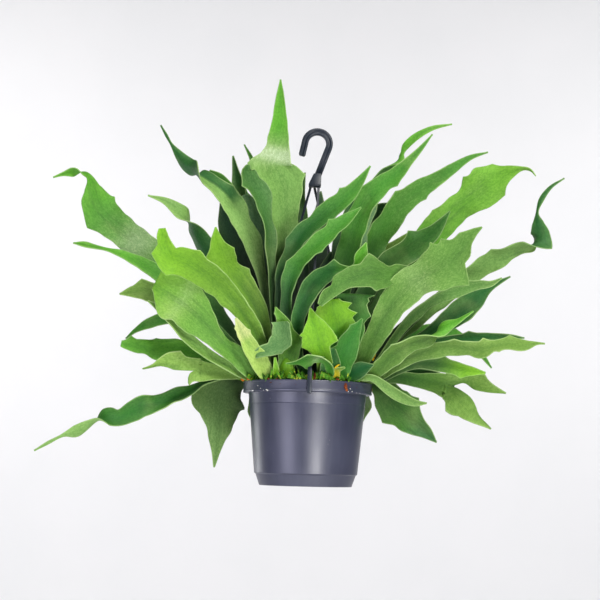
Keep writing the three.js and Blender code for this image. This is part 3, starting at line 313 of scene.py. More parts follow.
# %% The large fronds
FRONDS = {
    "frond_01": ("pale", "dark", 0.3, [
        (-34, 121, -8, 4, 0), (-45, 160, -9, 4, 0), (-50, 205, -10, 4, 0), (-58, 245, -12, 6, 10),
        (-71, 285, -15, 11, 15), (-88, 318, -19, 13, 20), (-106, 341, -22, 11, 25),
        (-126, 355, -26, 9, 50), (-139, 363, -28, 10, 95), (-150, 373, -27, 9, 145),
        (-167, 396, -22, 2, 165), (-175, 409, -18, 1.6, 170), (-182, 421, -14, 0.6, 170),
    ]),
    "frond_02": ("mid", "pale", 0.2, [
        (-24, 121, 20, 4, 0), (-38, 180, 20, 4, 0), (-52, 240, 19, 5, -15), (-68, 295, 18, 7, -20),
        (-84, 325, 16, 8, -25), (-99, 346, 12, 7, -25), (-112, 360, 7, 6, -25),
        (-122, 368, 3, 1, -20),
    ]),
    "frond_03": ("grey", "pale", -0.25, [
        (-48, 121, 14, 4, 0), (-64, 140, 16, 5, 10), (-87, 172, 14, 7, 15), (-113, 203, 10, 11, 20),
        (-145, 232, 4, 13, 20), (-176, 256, -4, 15, 20), (-205, 281, -12, 19, 15),
        (-231, 301, -20, 18, 10), (-251, 320, -28, 20, 0), (-259, 341, -34, 12, 10),
        (-266, 358, -38, 3.5, 40), (-280, 363, -42, 4, 120), (-294, 360, -46, 2.6, 150),
        (-307, 355, -50, 0.5, 160),
    ]),
    "frond_04": ("mid", "bright", 0.25, [
        (-50, 121, -2, 3.5, 0), (-68, 138, -7, 4, 10), (-96, 168, -15, 5, 20),
        (-135, 204, -21, 7, 25), (-170, 236, -26, 9, 25), (-195, 252, -28, 8, 30),
        (-218, 263, -30, 4.5, 40), (-242, 270, -30, 2.5, 50), (-265, 275, -28, 3, 40),
        (-280, 277, -26, 0.5, 30),
    ]),
    "frond_05": ("lime", "pale", 0.15, [
        (-45, 121, -25, 4.5, 0), (-50, 145, -32, 6, 0), (-62, 176, -46, 9, -10),
        (-80, 203, -62, 12, -15), (-101, 227, -78, 14.5, -15), (-126, 247, -94, 18, -10),
        (-150, 260, -106, 20, -5), (-166, 266, -113, 16, 0, 0.1), (-174, 280, -118, 10, 0),
        (-176, 297, -120, 4, 0),
    ]),
    "frond_06": ("mid", "pale", 0.15, [
        (-56, 124, -30, 5, 0), (-67, 130, -39, 7.5, 10), (-84, 149, -48, 11, 15),
        (-104, 169, -57, 15, 15), (-126, 191, -65, 22, 10), (-147, 208, -73, 27.5, 5),
        (-165, 219, -81, 27, 0), (-177, 225, -84, 21, 0), (-184, 228, -86, 13, 0),
    ]),
    "frond_07": ("mid", "pale", 0.2, [
        (-40, 121, -14, 4, 0), (-46, 158, -25, 6, 15), (-55, 188, -33, 9, 20),
        (-67, 214, -39, 12, 20), (-84, 237, -46, 14.5, 15), (-101, 258, -55, 17.5, 10, 0.1),
        (-110, 278, -60, 10, 5), (-113, 300, -64, 0.8, 0),
    ]),
    "frond_08": ("dark", "pale", -0.3, [
        (-36, 121, 28, 4, 0), (-56, 170, 22, 4.5, -10), (-80, 215, 16, 6, -20),
        (-103, 250, 10, 8, -30), (-124, 275, 4, 10, -35), (-137, 293, -2, 8, -40),
        (-148, 308, -8, 5, -110), (-159, 320, -14, 8, -165), (-174, 330, -20, 4, -170),
        (-194, 336, -26, 0.5, -170),
    ]),
    "frond_09": ("olive", "pale", 0.2, [
        (-56, 121, -10, 4, 0), (-76, 134, -17, 4.5, 10), (-104, 160, -28, 6, 15),
        (-136, 188, -39, 9, 20), (-166, 211, -48, 12, 20), (-190, 221, -53, 11, 15),
        (-207, 221, -56, 7, 10), (-223, 218, -58, 0.6, 0),
    ]),
    "frond_10": ("bright", "pale", 0.3, [
        (-59, 124, -22, 3.5, 0), (-72, 125, -32, 4, 20), (-95, 137, -44, 5, 30),
        (-120, 151, -54, 5.5, 30), (-143, 169, -62, 6, 30), (-161, 187, -68, 5, 30),
        (-178, 203, -72, 3, 30), (-190, 211, -74, 0.5, 30),
    ]),
    "frond_11": ("bright", "grey", -0.2, [
        (-60, 121, 12, 4, 0), (-77, 126, 16, 5, 20), (-99, 136, 12, 6, 25), (-122, 148, 4, 8, 25),
        (-146, 155, -4, 10.5, 20), (-172, 154, -12, 12.5, 15), (-198, 157, -18, 8.5, 10),
        (-214, 159, -21, 5, 5), (-219, 160, -22, 3.5, 0),
    ]),
    "frond_12": ("pale", "mid", 0.15, [
        (-62, 124, -16, 3.5, 0), (-77, 125, -20, 3, 20), (-95, 126, -26, 5, 25),
        (-110, 129, -31, 9, 20), (-126, 130, -37, 13, 15),
    ], [
        (-134, 122, -40, 7.5, 5), (-137, 111, -43, 1, 0),
    ], [
        (-143, 138, -41, 8, 15), (-158, 141, -45, 9.5, 20), (-171, 139, -47, 5, 30),
        (-180, 135, -49, 2, 40), (-193, 131, -51, 0.6, 50),
    ]),
    "frond_13": ("dark", "pale", 0.3, [
        (-57, 121, 26, 3.5, 0), (-78, 125, 24, 3, 60), (-100, 122, 18, 2.5, 68),
        (-122, 114, 10, 3, 65), (-148, 101, 2, 6, 50), (-172, 92, -6, 9, 30),
        (-195, 85, -14, 12, 10), (-217, 73, -20, 9.5, 20), (-234, 72, -24, 8.5, 50),
        (-248, 67, -26, 3.5, 120), (-267, 56, -28, 7, 165), (-283, 51, -28, 1.6, 150),
        (-300, 42, -26, 1.8, 170), (-315, 33, -24, 0.5, 180),
    ]),
    "frond_14": ("moss", "mid", -0.2, [
        (-46, 124, 42, 5, 0), (-66, 122, 41, 6, 0), (-83, 119, 38, 10, 0), (-95, 110, 35, 24, 0),
        (-101, 95, 32, 33, 0), (-102, 79, 30, 23, 0), (-103, 60, 28, 14, 0), (-104, 40, 26, 6, 0),
        (-106, 19, 24, 0.8, 0),
    ]),
    "frond_15": ("felt", "dark", 0.3, [
        (-22, 121, -6, 4, 0), (-34, 165, -8, 4, 0), (-39, 210, -9, 4, 0), (-37, 250, -10, 5.5, 5),
        (-33, 290, -13, 14, 10), (-33, 318, -16, 17, 10), (-35, 340, -18, 21, 8),
        (-40, 357, -20, 27, 4), (-47, 373, -21, 26, 0), (-45, 388, -22, 17.5, 0),
        (-42, 408, -23, 13, 0), (-41, 432, -25, 8.5, 0), (-41, 458, -27, 5, 0),
        (-41, 480, -28, 0.6, 0),
    ]),
    "frond_16": ("dark", "felt", 0.4, [
        (-28, 121, -18, 4, 0), (-40, 180, -22, 4, 10), (-46, 240, -26, 5, 20),
        (-50, 288, -30, 8, 25), (-56, 318, -33, 9, 25), (-63, 341, -36, 12, 15),
        (-73, 358, -40, 13, 5), (-79, 368, -44, 8, 0), (-77, 376, -48, 2.5, 0),
    ]),
    "frond_17": ("deep", "grey", 0.2, [
        (-20, 121, 36, 4, 0), (-42, 180, 30, 5, 0), (-62, 225, 26, 8, -10), (-80, 262, 22, 14, -20),
        (-96, 296, 18, 13, -20), (-108, 329, 14, 1, -10),
    ]),
    "frond_18": ("dark", "grey", 0.3, [
        (-12, 121, 24, 4, 0), (-36, 200, 26, 5, -10), (-54, 260, 28, 6, -20),
        (-70, 300, 30, 8, -20), (-84, 335, 32, 9, -25), (-89, 358, 33, 6, -20),
        (-95, 386, 34, 0.8, -10),
    ]),
    "frond_19": ("mid", "grey", 0.3, [
        (-4, 121, 38, 3.5, 0), (-26, 200, 42, 5, 0), (-44, 270, 46, 6, -15), (-58, 330, 50, 6, -20),
        (-70, 376, 53, 3, -10), (-82, 400, 55, 0.5, 0),
    ]),
    "frond_20": ("grey", "deep", 0.35, [
        (-26, 121, 11, 4, 0), (-38, 168, 11, 6, 0), (-45, 210, 11, 8, -10), (-52, 250, 10, 11, -15),
        (-61, 290, 8, 13, -15), (-71, 320, 5, 13, -10), (-79, 340, 2, 4, 0),
    ]),
    "frond_21": ("dark", "mid", 0.35, [
        (-14, 121, -16, 4, 0), (-27, 160, -24, 5, -20), (-33, 205, -30, 6, -35),
        (-31, 240, -35, 7, -40), (-24, 268, -39, 8, -40), (-10, 294, -42, 9, -35),
        (10, 314, -44, 10, -30), (32, 332, -46, 10, -25), (50, 351, -48, 7, -20),
        (68, 378, -50, 0.6, 0),
    ]),
    "frond_22": ("mid", "dark", 0.4, [
        (-8, 121, -28, 4, 0), (-20, 150, -31, 5, -20), (-26, 190, -36, 6, -35),
        (-25, 225, -45, 7, -40), (-18, 252, -52, 8, -40), (-2, 274, -57, 9, -35),
        (18, 292, -61, 9, -30), (38, 310, -63, 7, -30), (58, 328, -65, 0.6, -20),
    ]),
    "frond_23": ("mid", "dark", 0.35, [
        (2, 121, -34, 4.5, 0), (-12, 150, -44, 6, -10), (-13, 190, -54, 7, -25),
        (-6, 215, -60, 9, -30), (6, 236, -66, 10, -30), (20, 250, -70, 10, -25),
        (36, 254, -73, 5, -20), (49, 257, -76, 2.2, 0), (58, 269, -79, 8, 0), (65, 286, -82, 1, 0),
    ]),
    "frond_24": ("mid", "pale", 0.3, [
        (10, 121, -12, 4, 0), (24, 160, -14, 6, -10), (35, 210, -17, 9, -15),
        (43, 260, -20, 14, -20), (51, 300, -24, 13, -20), (63, 332, -28, 13, -15),
        (81, 354, -31, 11, -10), (98, 368, -34, 9, -5), (112, 383, -36, 5.5, 0),
        (127, 400, -38, 3, 0), (141, 418, -40, 0.5, 0),
    ]),
    "frond_25": ("grey", "bright", 0.35, [
        (18, 121, 16, 4, 0), (30, 170, 15, 6, 10), (43, 230, 13, 8, 20), (55, 290, 8, 9, 25),
        (66, 335, 2, 9, 30), (75, 359, -4, 7, 40), (89, 375, -8, 6, 55), (101, 386, -11, 4, 100),
        (105, 394, -12, 2, 140), (110, 404, -13, 4, 170), (123, 416, -14, 4, 175),
        (142, 426, -15, 2.5, 180), (164, 431, -16, 0.5, 180),
    ]),
    "frond_26": ("mid", "pale", 0.3, [
        (28, 121, 21, 4, 0), (38, 160, 23, 6, 10), (48, 210, 23, 9, 15), (62, 255, 23, 12, 20),
        (79, 295, 21, 14, 20), (98, 325, 17, 14, 15), (120, 347, 12, 12, 10), (142, 361, 7, 9, 5),
        (165, 377, 2, 6, 0), (186, 391, -2, 3, 0), (207, 398, -5, 0.5, 0),
    ]),
    "frond_27": ("mid", "pale", -0.2, [
        (42, 121, 14, 4.5, 0), (56, 150, 17, 6, 10), (72, 190, 20, 9, 15), (90, 230, 22, 11, 20),
        (118, 268, 23, 14, 20), (147, 302, 22, 17, 15), (170, 328, 18, 16, 10),
        (191, 345, 13, 20, 5), (208, 358, 8, 23, 0, 0.1), (227, 372, 2, 11, 0),
        (246, 379, -4, 3, 30), (257, 378, -8, 1.8, 50), (264, 371, -12, 0.5, 60),
    ]),
    "frond_28": ("mid", "dark", 0.25, [
        (52, 121, 19.5, 4, 0), (68, 140, 23, 4.5, 10), (97, 170, 21, 6, 20), (131, 201, 14, 8, 25),
        (165, 232, 8, 9, 30), (192, 254, 2, 10, 25), (215, 269, -4, 11, 20),
        (238, 279, -10, 10, 30), (257, 286, -14, 7, 70), (268, 298, -18, 11, 150),
        (267, 313, -20, 7, 165), (266, 327, -21, 1.6, 140), (271, 343, -22, 3, 170),
        (282, 358, -24, 2, 180), (298, 369, -26, 0.5, 180),
    ]),
    "frond_30": ("mid", "pale", 0.25, [
        (58, 121, -10, 3.5, 0), (80, 143, -20, 4, 20), (103, 178, -26, 4.5, 30),
        (124, 203, -30, 5.5, 35), (148, 221, -34, 6, 30), (174, 232, -37, 6.5, 20),
        (196, 239, -40, 5.5, 15), (212, 241, -42, 3.4, 10), (225, 248, -44, 0.5, 0),
    ]),
    "frond_31": ("mid", "bright", 0.25, [
        (56, 124, -34, 4, 0), (76, 132, -48, 7, 10), (95, 151, -58, 11, 15), (117, 166, -66, 9, 25),
        (141, 176, -71, 5, 60), (159, 189, -74, 6, 140), (174, 196, -76, 3, 150),
        (192, 208, -78, 0.5, 150),
    ]),
    "frond_32": ("mid", "pale", 0.3, [
        (62, 124, -22, 4, 0), (81, 128, -32, 5, 15), (103, 143, -42, 6, 20), (129, 156, -50, 8, 20),
        (158, 164, -57, 9, 15), (185, 164, -62, 9.5, 10), (202, 163, -65, 10, 0),
        (218, 168, -68, 6, -20), (235, 170, -70, 6.5, -30), (252, 169, -72, 6, -20),
        (266, 172, -73, 2, 0), (276, 172, -74, 0.6, 0),
    ]),
    "frond_33": ("dark", "mid", 0.3, [
        (62, 121, 6, 4, 0), (80, 132, 8, 6, 20), (110, 152, 3, 7, 25), (146, 167, -4, 8, 25),
        (182, 175, -10, 7, 20), (214, 178, -16, 5, 10), (236, 179, -20, 3, 10),
        (252, 178, -23, 0.5, 0),
    ]),
    "frond_34": ("bright", "pale", 0.25, [
        (66, 124, -17, 3.5, 0), (84, 126, -25, 4, 20), (107, 138, -32, 4.5, 25),
        (132, 145, -37, 5.5, 25), (158, 144, -41, 8, 15), (183, 139, -45, 7, 10),
        (207, 136, -48, 1, 0),
    ]),
    "frond_35": ("mid", "pale", 0.15, [
        (56, 121, 28, 4, 0), (80, 126, 24, 5, 10), (107, 128, 17, 7, 15), (134, 125, 8, 9, 15),
        (160, 121, -1, 14, 10),
    ], [
        (182, 129, -6, 7.5, 5), (200, 124, -11, 9, 0), (215, 118, -15, 5, 0),
        (231, 113, -18, 0.6, 0),
    ], [
        (169, 104, -5, 14, 0), (188, 92, -10, 12, 0), (214, 71, -15, 0.6, 0),
    ]),
    "frond_36": ("mid", "pale", 0.2, [
        (46, 121, 42, 5, 0), (68, 127, 40, 7, 0), (86, 117, 36, 13, 0), (101, 98, 32, 20, 0),
        (119, 82, 28, 18, 0), (137, 67, 24, 9, 0), (151, 54, 20, 0.6, 0),
    ]),
    "frond_37": ("bright", "pale", 0.25, [
        (52, 124, -42, 3, 0), (74, 127, -51, 4, 0), (95, 114, -50, 6, 0), (112, 104, -47, 6, 0),
        (126, 99, -44, 4, 0), (139, 99, -41, 0.6, 0),
    ]),
    "frond_38": ("dark", "mid", 0.25, [
        (36, 121, 33, 4, 0), (66, 128, 30, 6, 10), (100, 133, 25, 8, 20), (130, 131, 19, 9, 20),
        (154, 126, 13, 9, 10), (171, 120, 8, 1.5, 0),
    ]),
    "frond_39": ("mid", "dark", 0.25, [
        (34, 121, -8, 4.5, 0), (44, 160, -11, 6, 0), (56, 205, -13, 9, 0), (76, 243, -15, 12, 5),
        (101, 269, -17, 15, 5), (125, 286, -19, 14, 0), (146, 303, -21, 8, 0),
        (163, 326, -23, 0.6, 0),
    ]),
    "frond_40": ("olive", "dark", 0.2, [
        (24, 121, 26, 4, 0), (38, 180, 28.5, 5.5, 0), (58, 235, 28.5, 9, 10), (78, 268, 30, 9, 15),
        (98, 283, 29, 6, 10), (115, 299, 28, 0.8, 0),
    ]),
    "frond_41": ("deep", "grey", 0.3, [
        (8, 121, 30, 4, 0), (27, 200, 34, 6, 10), (45, 260, 36, 8, 15), (61, 300, 36, 8, 15),
        (77, 325, 34, 7, 10), (95, 334, 32, 0.6, 0),
    ]),
    "frond_42": ("dark", "mid", 0.3, [
        (-2, 121, 14, 4, 0), (-6, 200, 19, 6, 0), (-9, 260, 22, 7, 10), (-11, 310, 23, 7, 10),
        (-13, 340, 23, 5, 0), (-9, 368, 23, 0.6, 0),
    ]),
    "frond_43": ("deep", "mid", 0.3, [
        (8, 121, 10, 3.5, 0), (8, 180, 8, 5, 0), (12, 225, 4, 7, 0), (17, 250, 0, 8, 0),
        (24, 274, -6, 1.5, 0),
    ]),
    "frond_44": ("deep", "mid", 0.25, [
        (52, 121, -4, 4, 0), (70, 142, -8, 6, 0), (92, 168, -10, 7, 10), (114, 190, -12, 6, 10),
        (135, 205, -14, 1, 0),
    ]),
    "frond_45": ("dark", "mid", 0.25, [
        (55, 121, 14, 4, 0), (74, 136, 17, 5, 10), (104, 156, 17, 6, 15), (133, 174, 14, 8, 15),
        (158, 192, 9, 11, 10), (177, 208, 5, 14, 5), (194, 222, 1, 12, 0), (210, 236, -3, 5, 0),
        (235, 250, -8, 0.6, 0),
    ]),
}

# %% The small fronds on the crowns and the sprays behind them
SMALL_FRONDS = {
    "hand_stem": ("felt", "mid", 0.12, [
        (46, 121, -24, 5, 0), (60, 142, -36, 8, -10), (76, 172, -48, 12, -10),
        (90, 200, -58, 15, -5), (106, 226, -66, 19, 0), (130, 247, -72, 21, 0),
        (157, 262, -78, 27, 0), (172, 277, -82, 19, 0), (188, 298, -88, 7, 0),
        (201, 308, -92, 0.8, 0),
    ]),
    "hand_wing": ("felt", "mid", 0.12, [
        (122, 247, -60, 10, 0), (104, 248, -65.5, 15, 0), (88, 248, -74, 16.5, 0),
        (70, 250, -83, 17, 0), (50, 244, -89, 13, 5), (33, 236, -94, 10.5, 10),
        (20, 223, -98, 7.5, 10), (12, 211, -101, 3, 10),
    ]),
    "young_1": ("grey", "pale", 0.3, [
        (-62, 151, -56, 4.5, 0), (-51, 156, -60, 7, 0), (-41, 160, -62, 9.5, 0),
        (-33, 169, -64, 12, 0), (-32, 180, -65, 11, 0), (-33, 190, -66, 8, 0),
    ]),
    "young_2": ("bright", "pale", 0.2, [
        (-29, 121, -34, 4, 0), (-26, 138, -42, 9, 0), (-23, 155, -49, 12.5, 0),
        (-23, 170, -53, 12.5, 0), (-30, 188, -57, 8, 0), (-40, 207, -60, 0.8, 0),
    ]),
    "young_3": ("lime", "mid", 0.12, [
        (20, 121, -45, 6, 0), (20, 135, -58, 9, 0), (18, 149, -71, 9.5, 0), (13, 161, -77, 13.5, 0),
        (11, 171, -80, 20, 0), (8, 183, -82, 15, 0), (4, 195, -83, 7.5, 0), (1, 207, -83, 0.8, 0),
    ]),
    "young_4": ("bright", "mid", 0.15, [
        (27, 121, -38, 5, 0), (32, 145, -48, 7, 0), (35, 165, -55, 11, 0), (33, 182, -61, 17, 0),
        (30, 199, -66, 23, 0), (28, 211, -68, 18, 0), (27, 218, -69, 9, 0),
    ]),
    "young_5": ("mid", "pale", 0.25, [
        (38, 121, -34, 4, 0), (44, 150, -42, 8, 0), (50, 178, -50, 13, 0), (52, 200, -56, 17, 0),
        (50, 216, -60, 20, 0), (50, 225, -62, 19, 0),
    ]),
    "young_6": ("mid", "dark", 0.2, [
        (34, 121, -46, 5, 0), (35, 132, -56, 13, 0), (40, 152, -64, 15, 0), (49, 173, -70, 11, 0),
        (62, 196, -74, 1, 0),
    ]),
    "young_7": ("bright", "pale", 0.15, [
        (22, 121, -50, 3.5, 0), (26, 131, -66, 4.5, 0), (22, 143, -80, 7.5, 0),
        (11, 149, -86, 10, 0), (-3, 147, -89, 11, 0), (-15, 143, -90, 7.5, 0),
        (-26, 141, -89, 1, 0),
    ]),
    "young_8": ("dark", "mid", 0.2, [
        (26, 121, -50, 6, 0), (25, 128, -62, 12, 0), (26, 145, -68, 11, 0), (29, 160, -72, 3, 0),
    ]),
    "young_9": ("lime", "mid", -0.7, [
        (-31, 121, -44, 5, 0), (-27, 128, -49, 9, 0), (-27, 138, -50, 8.5, 0),
        (-27, 148, -46, 3, 0),
    ]),
    "young_10": ("pale", "lime", 0.25, [
        (-44, 121, -43, 6, 0), (-52, 135, -49, 10, 0), (-61, 150, -56, 11, 0),
        (-70, 163, -61, 9, 0), (-77, 175, -65, 7.5, 0), (-86, 193, -69, 1.2, 0),
    ]),
    "young_11": ("deep", "dark", 0.2, [
        (38, 121, -43, 4.5, 0), (50, 130, -50, 9, 0), (62, 137, -56, 9, 0), (76, 142, -60, 1, 0),
    ]),
    "young_12": ("yellow", "lime", 0.2, [
        (34, 121, -51, 2.5, 0), (33, 128, -62, 4, 0), (34, 135, -68, 4, 0), (43, 138, -72, 1, 0),
    ]),
    "young_13": ("lime", "yellow", 0.2, [
        (-38, 121, -46, 3, 0), (-37, 130, -54, 4, 0), (-39, 148, -58, 1, 0),
    ]),
    "rear_l1": ("dark", "mid", 0.2, [
        (-33, 121, 44, 4.5, 0), (-54, 160, 76, 7, 20), (-80, 205, 108, 12, 20),
        (-106, 238, 138, 16, 10),
    ], [
        (-129, 245, 152, 7, 0), (-146, 252, 164, 5, 0), (-160, 250, 172, 0.6, 0),
    ], [
        (-114, 263, 156, 7, 0), (-126, 276, 168, 5, 0), (-130, 284, 176, 0.6, 0),
    ]),
    "rear_l2": ("mid", "dark", 0.25, [
        (-36, 121, 47, 4.5, 0), (-66, 150, 74, 6, -20), (-100, 176, 94, 9, -25),
        (-136, 190, 112, 13, -20), (-168, 190, 126, 12, -10), (-196, 180, 138, 6, 0),
        (-214, 166, 146, 0.6, 0),
    ]),
    "rear_l3": ("mid", "pale", 0.2, [
        (-32, 121, 51, 4, 0), (-48, 131, 80, 6, 0), (-58, 124, 102, 10, 0), (-62, 104, 116, 13, 0),
        (-60, 78, 124, 8, 0), (-56, 48, 128, 0.8, 0),
    ]),
    "rear_l4": ("dark", "mid", 0.25, [
        (-28, 121, 45, 4.5, 0), (-38, 180, 72, 7, 10), (-50, 240, 92, 10, 10),
        (-62, 288, 108, 12, 0), (-72, 320, 118, 7, 0), (-80, 348, 124, 0.8, 0),
    ]),
    "rear_l5": ("deep", "dark", 0.2, [
        (-34, 121, 43, 5, 0), (-50, 158, 66, 10, 0), (-68, 195, 84, 12.5, 0),
        (-84, 228, 98, 12.5, 0), (-96, 262, 108, 0.8, 0),
    ]),
    "rear_m1": ("dark", "mid", 0.2, [
        (-12, 121, 54, 4.5, 0), (-18, 175, 84, 7, 10), (-24, 235, 108, 11, 10),
        (-26, 280, 124, 13, 0), (-26, 314, 134, 8, 0), (-24, 344, 140, 0.8, 0),
    ]),
    "rear_m2": ("mid", "pale", 0.2, [
        (-12, 121, 58, 4.5, 0), (-14, 132, 88, 6, 0), (-14, 124, 114, 11, 0),
        (-16, 102, 132, 16, 0),
    ], [
        (-30, 82, 140, 8, 0), (-38, 60, 144, 5, 0), (-44, 36, 146, 0.6, 0),
    ], [
        (-6, 80, 140, 8, 0), (2, 58, 144, 5, 0), (8, 34, 146, 0.6, 0),
    ]),
    "rear_m3": ("mid", "dark", 0.25, [
        (-9, 121, 57, 4, 0), (-14, 150, 92, 6, 0), (-20, 180, 122, 11, 0), (-24, 196, 150, 13, 0),
        (-28, 198, 176, 8, 0), (-32, 190, 198, 0.8, 0),
    ]),
    "rear_m4": ("deep", "dark", 0.2, [
        (-10, 121, 56, 4, 0), (-8, 150, 74, 7, 0), (-2, 180, 88, 11, 0), (4, 222, 104, 12.5, 0),
        (8, 270, 117, 12.5, 0), (10, 310, 124, 9, 0), (10, 346, 130, 0.8, 0),
    ]),
    "rear_r1": ("dark", "mid", 0.2, [
        (30, 121, 45, 4.5, 0), (44, 165, 82, 7, -20), (66, 212, 114, 12, -20),
        (90, 248, 144, 16, -10),
    ], [
        (92, 269, 158, 7, 0), (108, 284, 170, 5, 0), (120, 296, 178, 0.6, 0),
    ], [
        (114, 257, 158, 7, 0), (134, 262, 170, 6, 0), (152, 266, 178, 0.6, 0),
    ]),
    "rear_r2": ("mid", "dark", 0.25, [
        (36, 121, 48, 4.5, 0), (68, 146, 74, 6, 20), (104, 168, 94, 9, 25), (140, 178, 112, 13, 20),
        (172, 174, 126, 11, 10), (198, 160, 138, 5, 0), (214, 142, 146, 0.6, 0),
    ]),
    "rear_r3": ("mid", "pale", 0.2, [
        (34, 121, 53, 4, 0), (52, 131, 82, 6, 0), (62, 124, 104, 10, 0), (66, 104, 118, 13, 0),
        (62, 76, 126, 8, 0), (56, 46, 130, 0.8, 0),
    ]),
    "rear_r4": ("dark", "mid", 0.25, [
        (26, 121, 47, 4.5, 0), (26, 180, 76, 7, -10), (32, 240, 98, 11, -10), (38, 286, 114, 12, 0),
        (44, 318, 124, 7, 0), (52, 346, 130, 0.8, 0),
    ]),
    "rear_r5": ("deep", "dark", 0.2, [
        (34, 121, 44, 5, 0), (46, 160, 66, 10, 0), (62, 200, 84, 12.5, 0), (84, 232, 98, 12, 0),
        (108, 262, 108, 0.8, 0),
    ]),
}
CROWNS = {
    "frond_29": ("felt", None, [
        "hand_stem", "hand_wing"]),
    "young_fronds_left": ("bright", (-37, -41, 14), [
        "young_2", "young_9", "young_10", "young_1", "young_13"]),
    "young_fronds_right": ("bright", (29, -45, 16), [
        "young_3", "young_4", "young_5", "young_6", "young_7", "young_8", "young_11", "young_12"]),
    "rear_fronds_left": ("dark", (-32, 47, 10), [
        "rear_l1", "rear_l2", "rear_l3", "rear_l4", "rear_l5"]),
    "rear_fronds_middle": ("dark", (-11, 56, 8), [
        "rear_m1", "rear_m2", "rear_m3", "rear_m4"]),
    "rear_fronds_right": ("dark", (31, 48, 11), [
        "rear_r1", "rear_r2", "rear_r3", "rear_r4", "rear_r5"]),
}
print("fronds:", len(FRONDS), "large,", len(SMALL_FRONDS), "small")

# %% [markdown]
# ## Corners, bays and tips
# No margin on such a plant is an even curve. It runs out to blunt corners where a lobe began to form, and
# in to round bays between them. Each entry is (x, z, reach, length): the place on the elevation nearest to
# the margin meant, how far it is drawn out (+) to a point or in (-) to a bay, and over what length.

